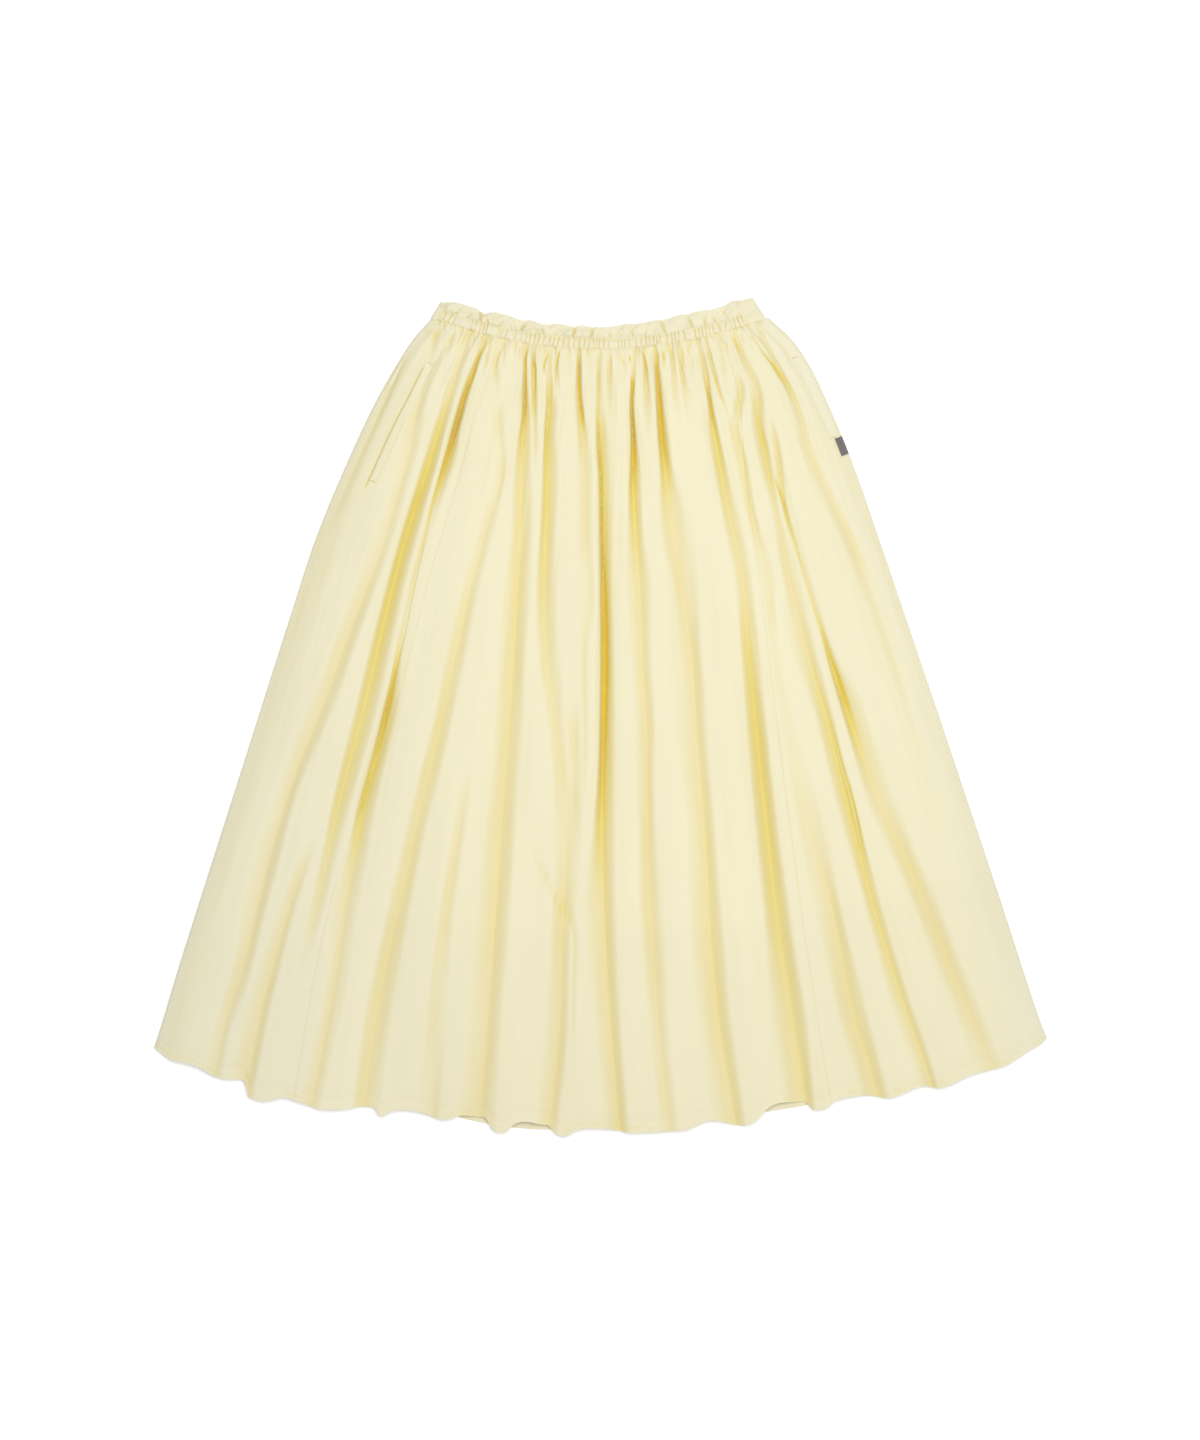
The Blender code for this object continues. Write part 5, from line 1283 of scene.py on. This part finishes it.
# ---------------------------------------------------------------------------
# Pocket edges, tab and stitches
# ---------------------------------------------------------------------------
def build_pocket_band(name, start, end, side, material):
    """Stitched edge of a pocket mouth, lying on the panel; side is 1 where it is right of start."""
    down = np.linspace(POCKET_START, end, BAND_ROWS)[:, None]
    shares = np.linspace(0.0, 1.0, BAND_COLUMNS)[None, :]
    if side < 0:
        shares = shares - 1
    x = start(down) + BAND_WIDTH * shares
    inset = np.abs(shares)
    rows = down * np.ones_like(x)
    stitched = np.exp(-((inset - BAND_STITCH) / BAND_STITCH_HALF) ** 2)
    slanted = rows * SKIRT_FALL / BAND_PUCKER_PITCH + side * inset * BAND_PUCKER_SLANT
    slanted = slanted + 0.5 * lattice_noise(rows * 60, 0.5, 41)
    pucker = BAND_PUCKER * np.cos(2 * math.pi * slanted) * ease(inset * 2) - BAND_STITCH_DIP * stitched
    rise = np.maximum(pucker, BAND_LEAST) + BAND_LIFT + BAND_CLOTH
    outer = points(x, plan_y(x, rows), upper_height(x, rows) + rise)
    # Painted fold shade: a little over the band, more in the puckers along its stitching.
    hollow = 0.05 + 0.10 * stitched * (0.5 - 0.5 * np.cos(2 * math.pi * slanted))
    values = {"hollow": hollow, "painted_cool_light": painted_cool_light_at(x, rows), "shade": shade_at(x, rows)}
    return shell(name, outer, np.full(x.shape, BAND_CLOTH), material, values=values)


def right_outline(down):
    x = section_value("right", down)
    return x, plan_y(x, down)


def build_side_tab(material):
    """Bare woven tab, set square to the right side, caught in its seam above the pocket's lower end."""
    run = np.linspace(0.0, 1.0, TAB_ROWS)[:, None]
    across = np.linspace(1.0, 0.0, TAB_COLUMNS)[None, :]
    down = TAB_START + run * TAB_LENGTH / SKIRT_FALL
    x, y = right_outline(down)
    step = 0.004
    x_next, y_next = right_outline(down + step)
    length = np.hypot(x_next - x, y_next - y)
    inward_x = (y_next - y) / length
    inward_y = -(x_next - x) / length
    inset = TAB_INSET + TAB_WIDTH * across
    plan = (x + inward_x * inset, y + inward_y * inset)
    rest = fold_height(plan[0], down) + TAB_REST
    curl = TAB_CURL * (1 - across) * np.sin(math.pi * run) + TAB_TURN * across ** 2
    outer = points(*plan, rest + curl + TAB_THICKNESS)
    return shell("side_tab_cloth", outer, np.full(outer.shape[:2], TAB_THICKNESS), material)


def stitch_line(path, kind):
    """Starts and ends of stitches of this kind along a line of points."""
    steps = np.linalg.norm(np.diff(path, axis=0), axis=1)
    run = np.concatenate([[0.0], np.cumsum(steps)])
    first = np.arange(0.5 * kind.pitch, run[-1] - kind.length, kind.pitch)
    ends = []
    for place in (first, first + kind.length):
        ends.append(np.stack([np.interp(place, run, path[:, k]) for k in range(3)], axis=-1))
    return ends


def build_stitches(name, lines, material, up=1.0):
    """Short threads; each has a humped middle and dips into the cloth at both ends."""
    starts = np.concatenate([line[0] for line in lines])
    ends = np.concatenate([line[1] for line in lines])
    axis = ends - starts
    ahead = axis / np.linalg.norm(axis, axis=1, keepdims=True)
    above = np.array([0.0, 0.0, up])
    side = np.cross(ahead, above)
    side = side / np.linalg.norm(side, axis=1, keepdims=True)
    rings = []
    for ring in STITCH_RINGS:
        for angle in np.linspace(0, 2 * math.pi, STITCH_SIDES + 1)[:-1]:
            radius = STITCH_RADIUS * ring.size
            offset = side * math.cos(angle) * radius + above * (math.sin(angle) * radius + ring.lift)
            rings.append(starts + axis * ring.share + offset)
    vertices = np.stack(rings, axis=1).reshape(-1, 3)
    corners = len(rings)
    last = corners - STITCH_SIDES
    pattern = []
    for near in range(last):
        beside = near + 1 if (near + 1) % STITCH_SIDES else near + 1 - STITCH_SIDES
        pattern.append((near, near + STITCH_SIDES, beside + STITCH_SIDES))
        pattern.append((near, beside + STITCH_SIDES, beside))
    for k in range(1, STITCH_SIDES - 1):
        pattern.append((0, k, k + 1))
        pattern.append((last, last + k + 1, last + k))
    base = np.arange(len(starts))[:, None, None] * corners
    return mesh_from(name, vertices, (base + np.array(pattern)[None]).reshape(-1, 3), material)


def on_cloth(x, down, hem=None, lift=STITCH_LIFT):
    return points(x, plan_y(x, down, hem), upper_height(x, down) + lift)


def topstitch_path(row):
    down = np.linspace(row.down[0], row.down[-1], 160)
    return on_cloth(smooth_curve(row.down, row.x, down) + row.beside, down)


def pocket_stitches():
    """A row along each pocket's edge, and short bars at both its ends."""
    lines = []
    above = BAND_LIFT + BAND_CLOTH
    for start, last, side in ((side_seam, LEFT_POCKET_END, 1), (right_edge, RIGHT_POCKET_END, -1)):
        down = np.linspace(POCKET_START, last, 300)
        x = start(down) + side * POCKET_STITCHED * BAND_WIDTH
        lines.append(stitch_line(on_cloth(x, down, lift=above + POCKET_STITCH_LIFT), POCKET_STITCHING))
        for end in (POCKET_START, last):
            for step in np.linspace(*BAR_ROWS):
                bar = start(end) + side * np.linspace(*BAR_REACH, 40)
                fall = step + side * BAR_FALL * np.linspace(0, 1, 40)
                path = on_cloth(bar, end + fall / SKIRT_FALL, lift=above + BAR_STITCH_LIFT)
                lines.append(stitch_line(path, BAR_STITCHING))
    return lines


def waist_stitches():
    x = np.linspace(WAIST_LEFT + WAIST_STITCH_INSET, WAIST_RIGHT - WAIST_STITCH_INSET, 1800)
    lines = []
    for share in WAIST_STITCHED:
        height = casing_top(x, share) + WAIST_STITCH_LIFT
        path = points(*above_seam(x, casing_rise(x, share, False)), height)
        lines.append(stitch_line(path, WAIST_STITCHING))
    return lines


def build_all_stitches(thread):
    hem_line = 1 - HEM_TURN / SKIRT_FALL + HEM_STITCH_RISE / SKIRT_FALL
    front_x = np.linspace(side_seam(hem_line) + 1, right_edge(hem_line) - 1, PATH_POINTS)
    hem = stitch_line(on_cloth(front_x, hem_line, FRONT_HEM), HEM_STITCHING)
    back_x = np.linspace(*UNDER_HEM_ENDS, PATH_POINTS)
    back_z = BACK_FOLD_SHARE * fold_depth(-back_x, hem_line)
    under = points(back_x, plan_y(back_x, hem_line, BACK_HEM), back_z)
    under_hem = stitch_line(under - np.array([0.0, 0.0, UNDER_STITCH_LIFT]), HEM_STITCHING)
    seams = [stitch_line(topstitch_path(row), SEAM_STITCHING) for row in TOPSTITCHED]
    return {
        "front_hem_stitches": build_stitches("front_hem_stitches", [hem], thread),
        "back_hem_stitches": build_stitches("back_hem_stitches", [under_hem], thread, up=-1.0),
        "waist_stitches": build_stitches("waist_stitches", waist_stitches(), thread),
        "pocket_stitches": build_stitches("pocket_stitches", pocket_stitches(), thread),
        "panel_stitches": build_stitches("panel_stitches", seams, thread),
    }


# ---------------------------------------------------------------------------
# Floor, light and camera
# ---------------------------------------------------------------------------
PHOTO_HEIGHT = 1.4832      # metres that the photo's frame covers, from top to bottom
CAMERA_LENS = 85.0
SENSOR = 36.0
PHOTO_SHIFT = (-0.0005, -0.0036)    # of the photo's centre from the skirt's
SOFTBOX_SIZE = 1.6
SOFTBOX_ENERGY = 52.0
SOFTBOX_PLACE = (0.30, 0.25, 2.6)
WORLD_STRENGTH = 0.46
FLOOR_GLOW = 0.12          # the floor is lit from below, as on a light table
FLOOR_HALF = 30.0          # half its side, in metres
FLOOR_DROP = 0.0005        # it lies this far below the skirt
VIEW_REACH = 100.0


def build_stage():
    mesh = bpy.data.meshes.new("floor")
    corners = [(x * FLOOR_HALF, y * FLOOR_HALF, 0) for x, y in ((-1, -1), (1, -1), (1, 1), (-1, 1))]
    mesh.from_pydata(corners, [], [(0, 1, 2, 3)])
    floor = bpy.data.objects.new("floor", mesh)
    floor.location.z = -FLOOR_DROP
    bpy.context.scene.collection.objects.link(floor)
    mesh.materials.append(floor_material())

    world = bpy.data.worlds.new("studio")
    world.use_nodes = True
    sky = world.node_tree.nodes["Background"]
    sky.inputs["Color"].default_value = (1.0, 1.0, 1.0, 1.0)
    sky.inputs["Strength"].default_value = WORLD_STRENGTH
    bpy.context.scene.world = world

    data = bpy.data.lights.new("softbox", "AREA")
    data.shape = "RECTANGLE"
    data.size = SOFTBOX_SIZE
    data.size_y = SOFTBOX_SIZE
    data.energy = SOFTBOX_ENERGY
    light = bpy.data.objects.new("softbox", data)
    light.location = SOFTBOX_PLACE
    bpy.context.scene.collection.objects.link(light)


def build_camera():
    data = bpy.data.cameras.new("camera")
    data.sensor_width = SENSOR
    data.lens = CAMERA_LENS
    distance = PHOTO_HEIGHT * CAMERA_LENS / SENSOR
    data.clip_end = VIEW_REACH
    camera = bpy.data.objects.new("camera", data)
    camera.location = (*PHOTO_SHIFT, distance)
    bpy.context.scene.collection.objects.link(camera)
    bpy.context.scene.camera = camera


def main():
    cotton = cotton_material()
    thread = thread_material()
    left_seam = smooth_curve(STATIONS, LEFT_SEAM, ROWS)
    right_seam = smooth_curve(STATIONS, RIGHT_SEAM, ROWS)
    pieces = {
        "front_left_panel": build_front_panel(
            "front_left_cloth", side_seam(ROWS) + SIDE_GAP, left_seam - SHELL_GAP, LEFT_COLUMNS, cotton
        ),
        "front_centre_panel": build_front_panel(
            "front_centre_cloth", left_seam + SHELL_GAP, right_seam - SHELL_GAP, CENTRE_COLUMNS, cotton
        ),
        "front_right_panel": build_front_panel(
            "front_right_cloth", right_seam + SHELL_GAP, right_edge(ROWS) - SIDE_GAP, RIGHT_COLUMNS, cotton
        ),
        "back_panel": build_back_panel(cotton),
        "waist_casing": build_casing(cotton),
        "waist_frill": build_frill(cotton),
    }
    extras = {
        "left_band": build_pocket_band("pocket_band_left_cloth", side_seam, LEFT_POCKET_END, 1, cotton),
        "right_band": build_pocket_band(
            "pocket_band_right_cloth", right_edge, RIGHT_POCKET_END, -1, cotton
        ),
        "side_tab": build_side_tab(tab_material()),
    }
    stood_for = {
        **pieces, "pocket_band_left": extras["left_band"], "pocket_band_right": extras["right_band"],
        "side_tab": extras["side_tab"],
    }
    for name, piece in stood_for.items():
        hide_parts(name)
    extras.update(build_all_stitches(thread))
    for name, piece in {**pieces, **extras}.items():
        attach(piece, "root")
    build_stage()
    build_camera()
    view = bpy.context.scene.view_settings
    view.view_transform = "Standard"
    view.look = "None"


main()
